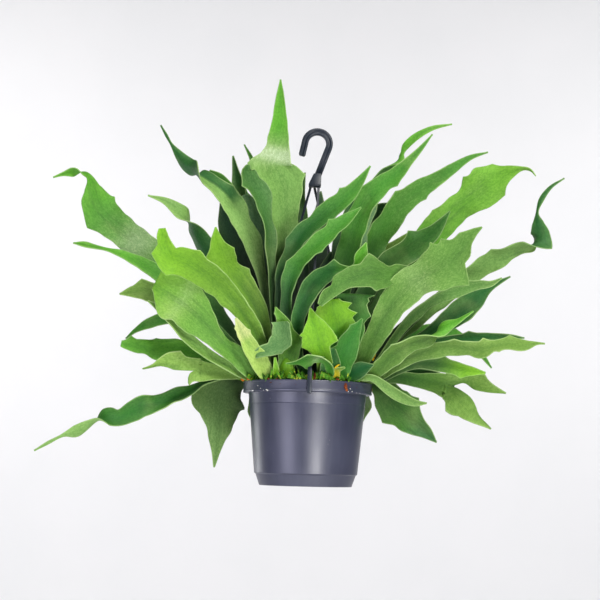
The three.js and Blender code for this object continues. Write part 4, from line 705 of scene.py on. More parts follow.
# %% Corners and bays
MARGINS = {
    "frond_01": [(-98, 347, 4, 9), (-76, 312, -3, 12)],
    "frond_03": [(-262, 300, 6, 14), (-236, 332, 2, 12), (-262, 345, -4, 9), (-206, 300, -3, 12)],
    "frond_05": [(-180, 268, 5, 7), (-178, 276, -3, 5), (-171, 246, 4, 7), (-150, 282, -4, 14),
                 (-128, 276, 4, 12), (-120, 228, 3, 12)],
    "frond_06": [(-180, 240, 9, 8), (-182, 219, -7, 9), (-178, 204, -5, 9), (-160, 190, -3, 10),
                 (-138, 228, 4, 10), (-99, 193, -9, 20), (-88, 172, -5, 14)],
    "frond_07": [(-120, 262, 5, 9), (-94, 275, 4, 10), (-84, 258, -3, 8), (-75, 250, 3, 7)],
    "frond_09": [(-196, 233, 5, 9), (-178, 208, -3, 8)],
    "frond_11": [(-208, 166, 5, 7), (-190, 148, -3, 8), (-178, 168, 3, 9)],
    "frond_12": [(-150, 150, 4, 8), (-122, 145, -2, 8)],
    "frond_14": [(-130, 108, 4, 14), (-82, 106, 5, 16), (-80, 98, 3, 12), (-85, 114, 3, 12),
                 (-70, 89, -4, 12), (-120, 66, -3, 12)],
    "frond_15": [(-66, 378, 7, 8), (-64, 352, -4, 9), (-52, 402, -3, 9), (-12, 364, 5, 7), (-23, 384, -4, 7),
                 (-52, 322, 3, 12)],
    "frond_16": [(-84, 350, 4, 8), (-60, 362, -3, 7)],
    "frond_21": [(-20, 285, 3, 10), (0, 309, -2, 9), (20, 318, 3, 8), (36, 345, 3, 7)],
    "frond_22": [(-26, 262, 3, 9), (-8, 283, -3, 8), (7, 281, 3, 8), (26, 306, 4, 7), (34, 298, -3, 8)],
    "frond_23": [(30, 263, 6, 9), (16, 258, -3, 8), (34, 246, -3, 7), (50, 262, -2, 5)],
    "frond_24": [(64, 345, 4, 9), (98, 358, 3, 8)],
    "frond_26": [(104, 342, 4, 9), (132, 343, 3, 9), (90, 318, -3, 9)],
    "frond_27": [(182, 362, 6, 9), (170, 350, -4, 9), (222, 352, 4, 9), (216, 382, 4, 8), (150, 318, 3, 10)],
    "frond_28": [(281, 286, 8, 6), (262, 254, -9, 11), (238, 268, -3, 9), (212, 282, 3, 9)],
    "hand_stem": [(181, 243, 12, 11), (156, 291, 6, 8), (143, 286, 3, 8), (120, 262, -3, 10),
                  (185, 262, -4, 9), (192, 285, -3, 8), (176, 299, 2, 8)],
    "hand_wing": [(106, 233, -9, 12), (70, 270, 7, 9), (88, 255, -6, 12), (58, 261, -2, 7), (28, 245, 3, 8),
                  (78, 233, 3, 10), (46, 232, -2, 8), (24, 238, -5, 9)],
    "frond_30": [(160, 232, 3, 8), (186, 243, 3, 8), (140, 210, -2, 8)],
    "frond_31": [(103, 158, 3, 8), (88, 150, -2, 6)],
    "frond_32": [(205, 174, 4, 9), (188, 154, -3, 8), (170, 172, 3, 9), (236, 178, 3, 8), (222, 160, 3, 7)],
    "frond_33": [(140, 172, 3, 9), (186, 182, 3, 9)],
    "frond_34": [(160, 153, 4, 8), (180, 132, 3, 8)],
    "frond_35": [(168, 136, 5, 9), (205, 134, 5, 8), (158, 95, 9, 16), (206, 90, -5, 12), (180, 118, -3, 7)],
    "frond_36": [(132, 104, 5, 10), (92, 82, 5, 12), (140, 84, -3, 9)],
    "frond_39": [(118, 296, 4, 9), (132, 278, 3, 9), (104, 286, -3, 9)],
    "young_1": [(-40, 191, 3, 3.5), (-24, 188, 2, 4), (-20, 163, 3, 6), (-47, 163, -2, 5),
                (-33, 152, 2.5, 5)],
    "young_2": [(-10, 168, 4, 8), (-36, 199, 2, 4), (-16, 184, -2, 5)],
    "young_3": [(32, 171, 5, 6), (-10, 177, 4, 3.5), (-7, 161, 5, 5), (2, 190, -1.5, 5)],
    "young_4": [(12, 211, 2.5, 4), (18, 213, -1.5, 3), (26, 221, 3.5, 4), (36, 212, -3, 4), (45, 217, 6, 4.5),
                (45, 208, -4, 3.5), (53, 206, 5, 4), (54, 198, -2, 3), (50, 190, 3, 5), (7, 200, 2, 5)],
    "young_5": [(58, 231, 4, 4), (63, 223, -3.5, 3), (70, 228, 5, 4), (64, 212, -2.5, 4), (67, 200, 4, 4),
                (60, 190, -2, 3), (40, 226, -3, 4), (32, 227, 4, 4)],
    "young_6": [(52, 184, 3, 5), (32, 158, 3, 6), (44, 160, -2, 5)],
    "young_7": [(-6, 158, 5, 9), (-19, 148, -2, 4), (0, 136, 9, 15), (17, 156, 3, 4)],
    "young_10": [(-88, 183, 2, 4), (-79, 165, -2, 5), (-60, 158, -2, 5), (-70, 178, 2, 4)],
    "rear_l2": [(-166, 202, -6, 26), (-166, 178, -6, 26), (-198, 182, -2, 12)],
}
print("blades with shaped margins:", len(MARGINS))

# %% [markdown]
# ## Blades that differ from their kind
# Two fronds of one kind are never quite the same green, so some blades have an upper face of their own:
# its colour, and the thickness of its felt. Some change tone along the blade: the tone, and the shares of
# the length where the change starts and ends, with -1 where only the right side of the midrib changes.
# Felt lies thick in patches where nothing has rubbed it off, and the same pale patches paint a whitish sheen
# of light on
# some blades: the share of the length where the patch lies, how far it spreads, and how thick it is.

# %% Their own tones, the tones of their tips, and patches of felt and painted sheen
OWN_TONES = {
    "frond_03": ("3c862a", 0.25), "frond_05": ("70a422", 0.18), "frond_06": ("629e30", 0.25),
    "frond_07": ("74a624", 0.14), "frond_10": ("6c9e3a", 0.30), "frond_11": ("58a41e", 0.12),
    "frond_12": ("7aa43c", 0.30), "frond_13": ("1f7014", 0.08), "frond_14": ("5c8440", 0.45),
    "frond_16": ("34722a", 0.25), "frond_21": ("176420", 0.06), "frond_22": ("1d6a20", 0.10),
    "frond_23": ("186420", 0.06), "frond_27": ("549c1e", 0.12), "frond_28": ("6c9c48", 0.42),
    "frond_30": ("588c3a", 0.38), "frond_31": ("527f27", 0.16), "frond_32": ("5c8730", 0.28),
    "frond_34": ("2b6018", 0.08), "frond_35": ("37761c", 0.10), "frond_36": ("3c7a20", 0.16),
    "frond_37": ("6c9844", 0.35), "frond_39": ("2f7220", 0.10), "hand_stem": ("548a2c", 0.36),
    "hand_wing": ("447c22", 0.28), "young_1": ("54884a", 0.42), "young_2": ("5f9c26", 0.10),
    "young_3": ("6c9c20", 0.12), "young_4": ("368c22", 0.08), "young_5": ("2f7c22", 0.10),
    "young_6": ("2c7c1e", 0.06), "young_7": ("3f8e26", 0.12), "young_10": ("b0d060", 0.35),
    "young_11": ("0a5a22", 0.0),
}
TIP_TONES = {
    "frond_01": ("dark", 0.60, 0.66, -1), "frond_03": ("bright", 0.66, 0.85),
    "frond_04": ("bright", 0.5, 0.8), "frond_05": ("lime", 0.55, 0.95), "frond_06": ("lime", 0.5, 1.3),
    "frond_07": ("lime", 0.5, 1.3),
    "frond_13": ("pale", 0.70, 0.78), "frond_15": ("bright", 0.78, 0.86), "frond_21": ("mid", 0.6, 0.9),
    "frond_22": ("mid", 0.45, 0.7), "frond_23": ("bright", 0.72, 0.85), "frond_25": ("bright", 0.65, 0.8),
    "frond_27": ("lime", 0.3, 1.5), "frond_32": ("olive", 0.4, 0.9), "frond_34": ("lime", 0.6, 0.95),
    "frond_35": ("olive", 0.3, 0.9), "frond_36": ("dark", 0.66, 0.85), "young_3": ("lime", 0.35, 0.55),
    "young_4": ("lime", 0.50, 0.85), "young_10": ("cream", 0.66, 0.78), "young_12": ("olive", 0.6, 0.9),
}
FELT_AND_SHEEN = {
    "frond_01": (0.45, 0.10, 0.25), "frond_03": (0.62, 0.10, 0.9), "frond_06": (0.80, 0.10, 0.7),
    "frond_10": (0.35, 0.2, 0.3), "frond_12": (0.6, 0.2, 0.3), "frond_15": (0.757, 0.032, 0.9),
    "frond_26": (0.7, 0.15, 0.3), "frond_27": (0.8, 0.12, 0.3), "hand_stem": (0.62, 0.12, 0.5),
    "young_7": (0.62, 0.10, 0.9),
}
print("own tones:", len(OWN_TONES), "tip tones:", len(TIP_TONES), "felt patches:", len(FELT_AND_SHEEN))

# %% [markdown]
# ## Making a blade
# The midrib is a smooth curve through the stations. Rows of points are laid across it, close enough
# together that no facet shows, and a fork splits a row into two that share their middle point. The sheet
# is then given two faces and a rounded margin. A mesh made this way is better than a flat card with a
# picture of a leaf: it has a real edge, it casts a real shadow, and it can be looked at from anywhere.

# %% Measures of a blade
EYE_DISTANCE, EYE_X, EYE_Z = 1700, -11.4, 27
ROW_STEP, TWIST_STEP = 3, 0.10
ROOTED_BELOW = 128
STALK_T, TIP_T = 1.7, 1.0
LEAST_HALF, EDGE_ON = 0.8, 0.42
BROAD_WAVE, FINE_WAVE, CHANNEL_HALF, CHANNEL_DEEP, CHANNEL_RUN = 43, 21, 3.2, 0.7, 240
RUFFLE, RUFFLE_LENGTH, RUFFLE_LAG, FULL_RUFFLE = 1.6, 58, 2.1, 12
FORK_BLEND = 26
PLAIN = [1, 0.955, 0.84, 0.68, 0.5, 0.33, 0.16, 0]
FORKED = [1, 0.975, 0.9, 0.78, 0.64, 0.5, 0.36, 0.22, 0.1, 0.025, 0]


def both_sides(columns):
    return np.array(columns + [-c for c in reversed(columns[:-1])])


def sighted(x, z, y):
    """From the front elevation to the real place."""
    k = 1 + y / EYE_DISTANCE
    return EYE_X + (x - EYE_X) * k, y, EYE_Z + (z - EYE_Z) * k


def station(x, z, y, half, turn, skew=0):
    """Place, left and right half-width, and turn, as six numbers."""
    radians = math.radians(turn)
    width = half * (1 + y / EYE_DISTANCE) / max(EDGE_ON, abs(math.cos(radians)))
    return np.array([*sighted(x, z, y), width * (1 + skew), width * (1 - skew), radians])


# %% Rows along a midrib
def rows_along(keys, before=None):
    """Values and directions along a smooth curve through the stations."""
    ends = [2 * keys[0] - keys[1] if before is None else before, *keys, 2 * keys[-1] - keys[-2]]
    rows = []
    for i in range(1, len(ends) - 2):
        p0, p1, p2, p3 = ends[i - 1:i + 3]
        reach, twist = np.linalg.norm(p2[:3] - p1[:3]), abs(p2[5] - p1[5])
        steps = max(1, round(reach / ROW_STEP), math.ceil(twist / TWIST_STEP))
        a, b, c = p2 - p0, 2 * p0 - 5 * p1 + 4 * p2 - p3, 3 * p1 - p0 - 3 * p2 + p3
        for j in range(steps + (i == len(ends) - 3)):
            t = j / steps
            slope = (a + 2 * b * t + 3 * c * t * t)[:3]
            rows.append((p1 + 0.5 * (a * t + b * t * t + c * t ** 3), slope / np.linalg.norm(slope)))
    return rows


def frame_of(value, along, facing):
    """The directions in which a blade faces, spreads and lies at one row."""
    flat = facing - along * facing.dot(along)
    flat /= np.linalg.norm(flat)
    side = np.cross(flat, along)
    cos, sin = math.cos(value[5]), math.sin(value[5])
    return flat, side * cos + flat * sin, flat * cos - side * sin


# %% The sheet of a blade
class Blade:
    """A sheet of points and four-sided faces, with what the finish needs to know of each point."""

    def __init__(self, cup, seed):
        self.cup, self.seed = cup, seed
        self.points, self.faces, self.marks, self.lengths = [], [], [], []

    def row(self, value, frame_here, columns, travelled):
        """The points across one row, from the left margin to the right one."""
        _, across, normal = frame_here
        half = np.where(columns > 0, value[3], value[4])
        half = np.maximum(half, LEAST_HALF)
        lag = np.where(columns > 0, 0, RUFFLE_LAG)
        square = columns ** 2
        fullness = np.minimum(1, half / FULL_RUFFLE)
        wave = np.sin(2 * math.pi * travelled / RUFFLE_LENGTH + lag)
        broad = np.sin(2 * math.pi * travelled / BROAD_WAVE + self.seed + lag) * square
        fine = np.sin(2 * math.pi * travelled / FINE_WAVE + self.seed + 2 * lag) * square ** 2
        channel = np.exp(-(columns * half / CHANNEL_HALF) ** 2) * max(0, 1 - travelled / CHANNEL_RUN)
        lift = self.cup * square * half + RUFFLE * fullness * square * wave - CHANNEL_DEEP * channel
        lift = lift + fullness * (1.3 * broad + 0.5 * fine)
        jag = 1 + 0.045 * fullness * np.sin(travelled / 7.1 + self.seed + lag)
        jag = jag + 0.02 * fullness * np.sin(travelled / 2.9 + 3 * self.seed - lag)
        reach = (columns * half * jag)[:, None]
        return value[:3] + across * reach + normal * lift[:, None]

    def add(self, points, across, half, travelled):
        """Keeps a row, and gives back the numbers of its points."""
        first = len(self.points)
        self.points.extend(points)
        self.marks.extend((a, h, travelled) for a, h in zip(across, half))
        return list(range(first, first + len(points)))

    def grow(self, rows, lower, columns, spread, travelled, facing, start=None):
        """Adds rows and joins them. After a fork, they ease out of the row that they split from."""
        place, frame_here, previous, forked_at = None, (facing,), lower, travelled
        self.lengths.append([])
        for value, along in rows:
            if place is not None:
                travelled += np.linalg.norm(value[:3] - place)
            frame_here = frame_of(value, along, frame_here[0])
            points = self.row(value, frame_here, columns, travelled)
            if start is not None and travelled - forked_at < FORK_BLEND:
                gone = travelled - forked_at
                f = gone / FORK_BLEND
                f = f * f * (3 - 2 * f)
                ahead = start[0] + start[1] * gone
                points = ahead * (1 - f) + points * f
            half = np.maximum(np.where(columns > 0, value[3], value[4]), LEAST_HALF)
            upper = self.add(points, spread, half, travelled)
            self.lengths[-1].append((travelled, upper))
            if previous:
                for i in range(len(upper) - 1):
                    self.faces.append((previous[i], previous[i + 1], upper[i + 1], upper[i]))
            previous, place = upper, value[:3]
        return previous, travelled, frame_here

    def shape_margin(self, x, z, reach, length):
        """Draws the margin nearest to a place on the elevation out to a point, or in to a round bay."""
        found = []
        for number, rows in enumerate(self.lengths):
            for travelled, row in rows:
                for end in (0, -1):
                    place = self.points[row[end]]
                    k = 1 + place[1] / EYE_DISTANCE
                    away = math.hypot(EYE_X + (place[0] - EYE_X) / k - x, EYE_Z + (place[2] - EYE_Z) / k - z)
                    found.append((away, number, travelled, end))
        _, number, middle, end = min(found)
        for travelled, row in self.lengths[number]:
            off = abs(travelled - middle) / length
            weight = max(0, 1 - off) ** 1.4 if reach > 0 else math.exp(-off ** 2)
            if weight < 0.02:
                continue
            centre, margin = self.points[row[len(row) // 2]].copy(), self.points[row[end]].copy()
            wide = max(np.linalg.norm(margin - centre), 0.5)
            for i in (row[:len(row) // 2] if end == 0 else row[len(row) // 2 + 1:]):
                share = np.linalg.norm(self.points[i] - centre) / wide
                self.points[i] = self.points[i] + (margin - centre) / wide * reach * weight * share ** 2


# %% A whole blade, with its fork
def blade(cup, path, left=(), right=(), seed=0.0, margins=()):
    """The sheet of one frond."""
    sheet = Blade(cup, seed)
    columns = both_sides(FORKED if left else PLAIN)
    keys = [station(*entry) for entry in path]
    if path[0][1] < ROOTED_BELOW:
        root = keys[0].copy()
        root[2] = SOIL_Z - ROOT_DEPTH + GAP
        keys.insert(0, root)
    rows = rows_along(keys)
    end, travelled, frame_here = sheet.grow(rows, None, columns, columns, 0.0, np.array([0.0, -1.0, 0.0]))
    if left:
        middle = len(columns) // 2
        tip, along = rows[-1]
        for lobe, part, hand in ((left, slice(0, middle + 1), 1), (right, slice(middle, None), -1)):
            width = tip[3] if hand > 0 else tip[4]
            start = tip.copy()
            start[:3] += frame_here[1] * hand * width / 2
            start[3:5] = width / 2
            lobe_keys = [start, *(station(*entry) for entry in lobe)]
            reach = np.linalg.norm(lobe_keys[1][:3] - start[:3])
            before = 2 * start - lobe_keys[1]
            before[:3] = start[:3] - along * reach
            from_row = np.array([sheet.points[i] for i in end[part]])
            sheet.grow(rows_along(lobe_keys, before)[1:], end[part], 2 * columns[part] - hand, columns[part],
                       travelled + ROW_STEP * 0.5, frame_here[0], (from_row, along))
    for margin in margins:
        sheet.shape_margin(*margin)
    return sheet


# %% Two faces and a rounded margin
def thicken(sheet, tones, tip=None, felt_and_sheen=None):
    """Points, faces and marks of a blade with a real thickness. Tone, felt and painted sheen may change along
    it.
    """
    points, quads = np.array(sheet.points), np.array(sheet.faces)
    marks = np.array(sheet.marks)
    corners = points[quads]
    facing = np.cross(corners[:, 2] - corners[:, 0], corners[:, 3] - corners[:, 1])
    normals = np.zeros_like(points)
    for i in range(4):
        np.add.at(normals, quads[:, i], facing)
    normals /= np.linalg.norm(normals, axis=1)[:, None]
    thick = STALK_T + (TIP_T - STALK_T) * marks[:, 2:3] / marks[:, 2].max()
    edges = {(int(q[i]), int(q[(i + 1) % 4])) for q in quads for i in range(4)}
    border = [edge for edge in edges if edge[::-1] not in edges]
    outward = np.zeros_like(points)
    for a, b in sorted(border):
        out = np.cross(points[b] - points[a], normals[a] + normals[b])
        outward[a] += out
        outward[b] += out
    rim = sorted({a for a, _ in border})
    where = {a: 2 * len(points) + i for i, a in enumerate(rim)}
    out = outward[rim] / np.linalg.norm(outward[rim], axis=1)[:, None]
    margin = points[rim] + out * thick[rim] * 0.3
    both = np.vstack([points + normals * thick / 2, points - normals * thick / 2, margin])
    n = len(points)
    faces = [tuple(q) for q in quads] + [tuple(q[::-1] + n) for q in quads]
    for a, b in sorted(border):
        faces.append((b, a, where[a], where[b]))
        faces.append((where[b], where[a], a + n, b + n))
    face = np.concatenate([np.ones(n), -np.ones(n), np.zeros(len(rim))])
    marks = np.vstack([marks, marks, marks[rim]])
    upper, under = (np.tile(t, (len(both), 1)) for t in tones)
    if tip:
        name, start, end, *hand = tip
        f = np.clip((marks[:, 2:3] / marks[:, 2].max() - start) / (end - start), 0, 1)
        f = f * f * (3 - 2 * f)
        if hand:
            f = f * np.clip(marks[:, 0:1] * hand[0] * 4, 0, 1)
        upper, under = (t + (np.array(tone(name)) - t) * f for t in (upper, under))
    # Pale patches of thick felt, which also paint a whitish sheen of light on the blade.
    if felt_and_sheen:
        at, spread, amount = felt_and_sheen
        felt_and_sheen_patch = amount * np.exp(-((marks[:, 2] / marks[:, 2].max() - at) / spread) ** 2)
        upper[:, 3] += felt_and_sheen_patch
        under[:, 3] += felt_and_sheen_patch
    return both, faces, {"face": face, "across": marks[:, 0], "half": marks[:, 1] / 1000,
                         "along": marks[:, 2] / 1000, "upper": upper, "under": under}


def joined(parts):
    """Several meshes with their marks, as one."""
    points, faces, first = [], [], 0
    for p, f, _ in parts:
        points.append(p)
        faces.extend(tuple(int(i) + first for i in face) for face in f)
        first += len(p)
    marks = {key: np.concatenate([m[key] for _, _, m in parts]) for key in parts[0][2]}
    return np.vstack(points), faces, marks


def frond_piece(name, parts, slot):
    """The finished frond or clump, in place of its solid."""
    points, faces, marks = joined(parts)
    made = piece(name + "_blade", points, faces, FROND_FINISHES[slot], [name], slot)
    for key, values in marks.items():
        colour = values.ndim == 2
        layer = made.data.attributes.new(key, "FLOAT_COLOR" if colour else "FLOAT", "POINT")
        layer.data.foreach_set("color" if colour else "value", values.astype(np.float32).ravel())
    return made


# %% [markdown]
# ## The fronds
# Each large frond is a piece of its own, as it is on the plant. The finish is picked by the tone of its
# upper face.

# %% Make the large fronds
def seed_of(name):
    """A number for a frond, that never changes."""
    return sum(ord(letter) * (i + 1) for i, letter in enumerate(name)) % 97 / 7


def made_blade(name, entry):
    upper, under, cup, *stations = entry
    sheet = blade(cup, *stations, seed=seed_of(name), margins=MARGINS.get(name, ()))
    code, felt = OWN_TONES.get(name, TONES[upper])
    tones = ((*linear(code)[:3], felt), tone(under))
    return thicken(sheet, tones, TIP_TONES.get(name), FELT_AND_SHEEN.get(name))


for name, entry in FRONDS.items():
    frond_piece(name, [made_blade(name, entry)], SLOT_OF[entry[0]])
print("large fronds:", len(FRONDS))

# %% [markdown]
# ## The crowns
# Small fronds crowd the middle of the pot, and longer ones arch out behind. Those that share a growing
# point are one piece with its crown, a low dome of scales that is mostly hidden.

# %% Make the crowns and their fronds
def turned_faces(rings, sides):
    """Faces of a closed solid of revolution, with one point on the axis at each end."""
    faces = [(0, 1 + (i + 1) % sides, 1 + i) for i in range(sides)]
    for ring in range(rings - 1):
        low = 1 + ring * sides
        for i in range(sides):
            j = (i + 1) % sides
            faces.append((low + i, low + j, low + sides + j, low + sides + i))
    last = 1 + (rings - 1) * sides
    return faces + [(last + i, last + (i + 1) % sides, last + sides) for i in range(sides)]


def crown_dome(x, y, radius, tones):
    """A low dome, closed below."""
    profile = [(radius, -ROOT_DEPTH + GAP), (radius * 1.0, 0.6), (radius * 0.92, 3.0), (radius * 0.7, 5.2),
               (radius * 0.4, 7.0)]
    sides = 40
    points = [(x, y, SOIL_Z - ROOT_DEPTH + GAP)]
    for r, z in profile:
        for i in range(sides):
            a = 2 * math.pi * i / sides
            bump = 1 + 0.05 * math.sin(5 * a + z)
            points.append((x + r * bump * math.cos(a), y + r * bump * math.sin(a), SOIL_Z + z))
    points.append((x, y, SOIL_Z + 7.6))
    n = len(points)
    upper, under = (np.tile(t, (n, 1)) for t in tones)
    return np.array(points), turned_faces(len(profile), sides), {
        "face": np.ones(n), "across": np.full(n, 0.3), "half": np.full(n, 0.01),
        "along": np.zeros(n), "upper": upper, "under": under}


for name, (tone_name, crown, blades) in CROWNS.items():
    parts = [crown_dome(*crown, (tone("olive"), tone("olive")))] if crown else []
    parts += [made_blade(b, SMALL_FRONDS[b]) for b in blades]
    frond_piece(name, parts, SLOT_OF[tone_name])
print("crowns:", len(CROWNS))

# %% [markdown]
# ## The pot
# The pot is injection moulded in one shot: a tapered wall, a stepped foot, and a broad band round the rim
# that the hanger's clips close over. A turned profile gives all of it at once, with small radii on the
# edges, because a moulded edge is never sharp.

# %% Turn a profile round the axis
def turned(profile, sides):
    """Points and faces of a closed solid of revolution. The profile starts and ends on the axis."""
    points = [(0, 0, profile[0][1])]
    angles = [2 * math.pi * i / sides for i in range(sides)]
    for r, z in profile[1:-1]:
        points += [(r * math.cos(a), r * math.sin(a), z) for a in angles]
    points.append((0, 0, profile[-1][1]))
    return points, turned_faces(len(profile) - 2, sides)


def rounded(profile, radius, steps=3):
    """The profile with its inner corners rounded off."""
    out = [profile[0]]
    for a, b, c in zip(profile, profile[1:], profile[2:]):
        a, b, c = (np.array(p, dtype=float) for p in (a, b, c))
        la, lc = np.linalg.norm(a - b), np.linalg.norm(c - b)
        r = min(radius, la * 0.45, lc * 0.45)
        p, q = b + (a - b) * r / la, b + (c - b) * r / lc
        shares = np.linspace(0, 1, steps + 1)
        out += [tuple((1 - t) ** 2 * p + 2 * t * (1 - t) * b + t * t * q) for t in shares]
    return out + [profile[-1]]


# %% The finish of the moulded plastic
def moulded_finish(name, code, sheen, scuffs, shine):
    """Satin slate plastic with a faint grain, drag marks from the mould, and dust."""
    f = Finish(name, Specular_IOR_Level=shine)
    x, y, z = (f.node("ShaderNodeSeparateXYZ", None, {0: f.place}, output=i) for i in range(3))
    drag = f.noise(1.0, 3.0, 0.6, f.node("ShaderNodeCombineXYZ", None, {0: x * 260, 1: y * 260, 2: z * 18}))
    cloud = f.noise(16, 3.0)
    grain = f.noise(2600, 1.0)
    base = linear(code)
    lit = f.mix(cloud.ramp(0.3, 0.75) * 0.4 + drag.ramp(0.4, 0.8) * 0.2, base, linear(sheen))
    speck = f.noise(420, 2.0, 0.7).ramp(0.70, 0.76) * f.noise(38, 1.0).ramp(0.56, 0.70)
    colour = f.mix(speck * scuffs, lit, linear("b9b8b4"))
    rough = cloud * 0.12 + drag * 0.10 + speck * 0.3 + 0.27
    return f.feed(colour, rough, grain * 0.35 + drag, depth=0.00006, strength=0.5)


POT_FINISH = moulded_finish("pot_plastic", "303347", "4a4d61", 0.8, 0.9)
HANGER_FINISH = moulded_finish("hanger_plastic", "141d29", "26323f", 0.3, 0.6)

# %% The pot
RIM_R, RIM_Z, BAND_H = 75, 119, 13
WALL_TOP_R, WALL_LOW_R, STEP_Z = 68.5, 59.7, 14
FOOT_TOP_R, FOOT_R = 58, 53.5
WALL_T, FLOOR_T, EDGE_R = 1.6, 2.2, 0.7
POT_SIDES = 128
BAND_Z = RIM_Z - BAND_H
MOULD_LINE_Z = 93


def wall_radius(z):
    """Outside of the wall at a height."""
    return WALL_LOW_R + (WALL_TOP_R - WALL_LOW_R) * (z - STEP_Z) / (BAND_Z - STEP_Z)


line_r = wall_radius(MOULD_LINE_Z)
outside = [
    (0, 1.2), (FOOT_R - 8, 1.2), (FOOT_R - 7, 0), (FOOT_R, 0), (FOOT_TOP_R, STEP_Z - 1), (WALL_LOW_R, STEP_Z),
    (line_r, MOULD_LINE_Z), (line_r - 0.25, MOULD_LINE_Z + 0.4), (wall_radius(94.5) - 0.1, 94.5),
    (WALL_TOP_R, BAND_Z), (RIM_R - 0.3, BAND_Z), (RIM_R, BAND_Z + 2.2), (RIM_R - 0.35, BAND_Z + 2.8),
    (RIM_R - 0.35, RIM_Z - 2.0), (RIM_R, RIM_Z - 1.6), (RIM_R, RIM_Z),
]
inside = [
    (RIM_R - WALL_T, RIM_Z), (RIM_R - WALL_T, BAND_Z + WALL_T), (WALL_TOP_R - WALL_T, BAND_Z + WALL_T),
    (WALL_LOW_R - WALL_T, STEP_Z + WALL_T), (FOOT_TOP_R - WALL_T, STEP_Z), (FOOT_R - WALL_T, FLOOR_T + 1.2),
    (0, FLOOR_T + 1.2),
]
pot = piece("pot_shell", *turned(rounded(outside + inside, EDGE_R), POT_SIDES), POT_FINISH)

# %% [markdown]
# The drain holes are cut through the floor with one Boolean against six pegs.

# %% Cut the drain holes
DRAIN_R, DRAIN_RING, DRAINS = 4, 36, 6
pegs = bmesh.new()
for i in range(DRAINS):
    a = (i + 0.5) * 2 * math.pi / DRAINS
    at = placed([DRAIN_RING * math.cos(a), DRAIN_RING * math.sin(a), 2])
    bmesh.ops.create_cone(pegs, cap_ends=True, segments=28, radius1=DRAIN_R / 1000, radius2=DRAIN_R / 1000,
                          depth=0.02, matrix=Matrix.Translation(at))
peg_mesh = bpy.data.meshes.new("pegs")
pegs.to_mesh(peg_mesh)
pegs.free()
peg_object = linked("pegs", peg_mesh)


def applied(made):
    """The object's modifiers worked into its mesh."""
    graph = bpy.context.evaluated_depsgraph_get()
    mesh = bpy.data.meshes.new_from_object(made.evaluated_get(graph), preserve_all_data_layers=True,
                                           depsgraph=graph)
    made.modifiers.clear()
    made.data = mesh
    return made


cut = pot.modifiers.new("drains", "BOOLEAN")
cut.operation, cut.solver, cut.object = "DIFFERENCE", "EXACT", peg_object
applied(pot)
bpy.data.objects.remove(peg_object)
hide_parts("pot")
print("pot:", len(pot.data.polygons), "faces")

# %% [markdown]
# ## The hanger
# The hanger is moulded too: a bar with a groove along each face, bent into an open hook, a flared block
# at its foot, and three flat strands that reach the rim. All of it is one outline carried along a path, so
# one function makes the hook, its block and the strands.

# %% Carry an outline along a path
def carried(stops):
    """Points and faces of a solid through rings of equal length, closed at both ends."""
    count = len(stops[0])
    points = [p for ring in stops for p in ring]
    faces = []
    for row in range(len(stops) - 1):
        for i in range(count):
            j = (i + 1) % count
            faces.append((row * count + i, row * count + j, (row + 1) * count + j, (row + 1) * count + i))
    last = (len(stops) - 1) * count
    faces.append(tuple(reversed(range(count))))
    faces.append(tuple(range(last, last + count)))
    return points, faces


def outward_mesh(made):
    """Turns every face of a closed mesh outwards."""
    work = bmesh.new()
    work.from_mesh(made.data)
    bmesh.ops.recalc_face_normals(work, faces=work.faces)
    work.to_mesh(made.data)
    work.free()


def eased_edges(made, width, segments=2):
    """Rounds the edges of a moulded piece, and works the result into its mesh."""
    outward_mesh(made)
    bevel = made.modifiers.new("edges", "BEVEL")
    bevel.width, bevel.segments, bevel.limit_method, bevel.angle_limit = width / 1000, segments, "ANGLE", 0.6
    bevel.harden_normals = False
    return applied(made)


# %% The hook
HOOK_TIP = (-13.5, 388)
BLOCK_X, BLOCK_TOP_Z, BLOCK_Z, BLOCK_BAND = 2.75, 367, 351, 3
BLOCK_TOP, BLOCK_FOOT, BLOCK_LEAN = (9, 8), (14.5, 11), 3
GROOVE_HALF, GROOVE_DEPTH, BAR_BEVEL, BEND_STEPS = 1.2, 1.6, 1.4, 40
UP, SIDE = np.array([0.0, 0, 1]), np.array([0.0, 1, 0])
h, bevelled = HOOK_BAR / 2, HOOK_BAR / 2 - BAR_BEVEL
half_outline = [
    (-h, -bevelled), (-h + 0.5, -h + 0.5), (-bevelled, -h), (-GROOVE_HALF - 0.2, -h),
    (-GROOVE_HALF, -h + GROOVE_DEPTH), (GROOVE_HALF, -h + GROOVE_DEPTH), (GROOVE_HALF + 0.2, -h),
    (bevelled, -h), (h - 0.5, -h + 0.5), (h, -bevelled),
]
outline = half_outline + [(-u, -v) for u, v in half_outline]
centre = np.array([HOOK_X, 0, HOOK_Z])


def from_bend(angle):
    """The direction from the middle of the bend."""
    return np.array([math.cos(angle), 0, math.sin(angle)])


def tangent_angle(target, hand):
    """Where a straight leg to the target leaves the bend."""
    reach = target - centre
    return math.atan2(reach[2], reach[0]) + hand * math.acos(HOOK_BEND_R / np.linalg.norm(reach))


tip = np.array([HOOK_TIP[0], 0, HOOK_TIP[1]])
neck = np.array([BLOCK_X + BLOCK_LEAN, 0, BLOCK_TOP_Z - 3])
first, last = tangent_angle(tip, -1) + 2 * math.pi, tangent_angle(neck, 1)
start = centre + from_bend(first) * HOOK_BEND_R
stops = [(tip + (start - tip) * f, from_bend(first), s) for f, s in ((0, 0.62), (0.035, 0.85), (0.1, 1))]
for i in range(BEND_STEPS + 1):
    angle = first + (last - first) * i / BEND_STEPS
    stops.append((centre + from_bend(angle) * HOOK_BEND_R, from_bend(angle), 1))
stops.append((neck, from_bend(last), 1))
rings = [[p + across * u * s + SIDE * v * s for u, v in outline] for p, across, s in stops]
hook = piece("hook_bar", *carried(rings), HANGER_FINISH, (), "hanger_plastic")
outward_mesh(hook)


# %% The block under the hook, and its pin
PIN_Z, PIN_R, PIN_HALF, DISH_R, DISH_DEPTH = BLOCK_Z + 3.5, 1.0, 5.45, 0.7, 0.15


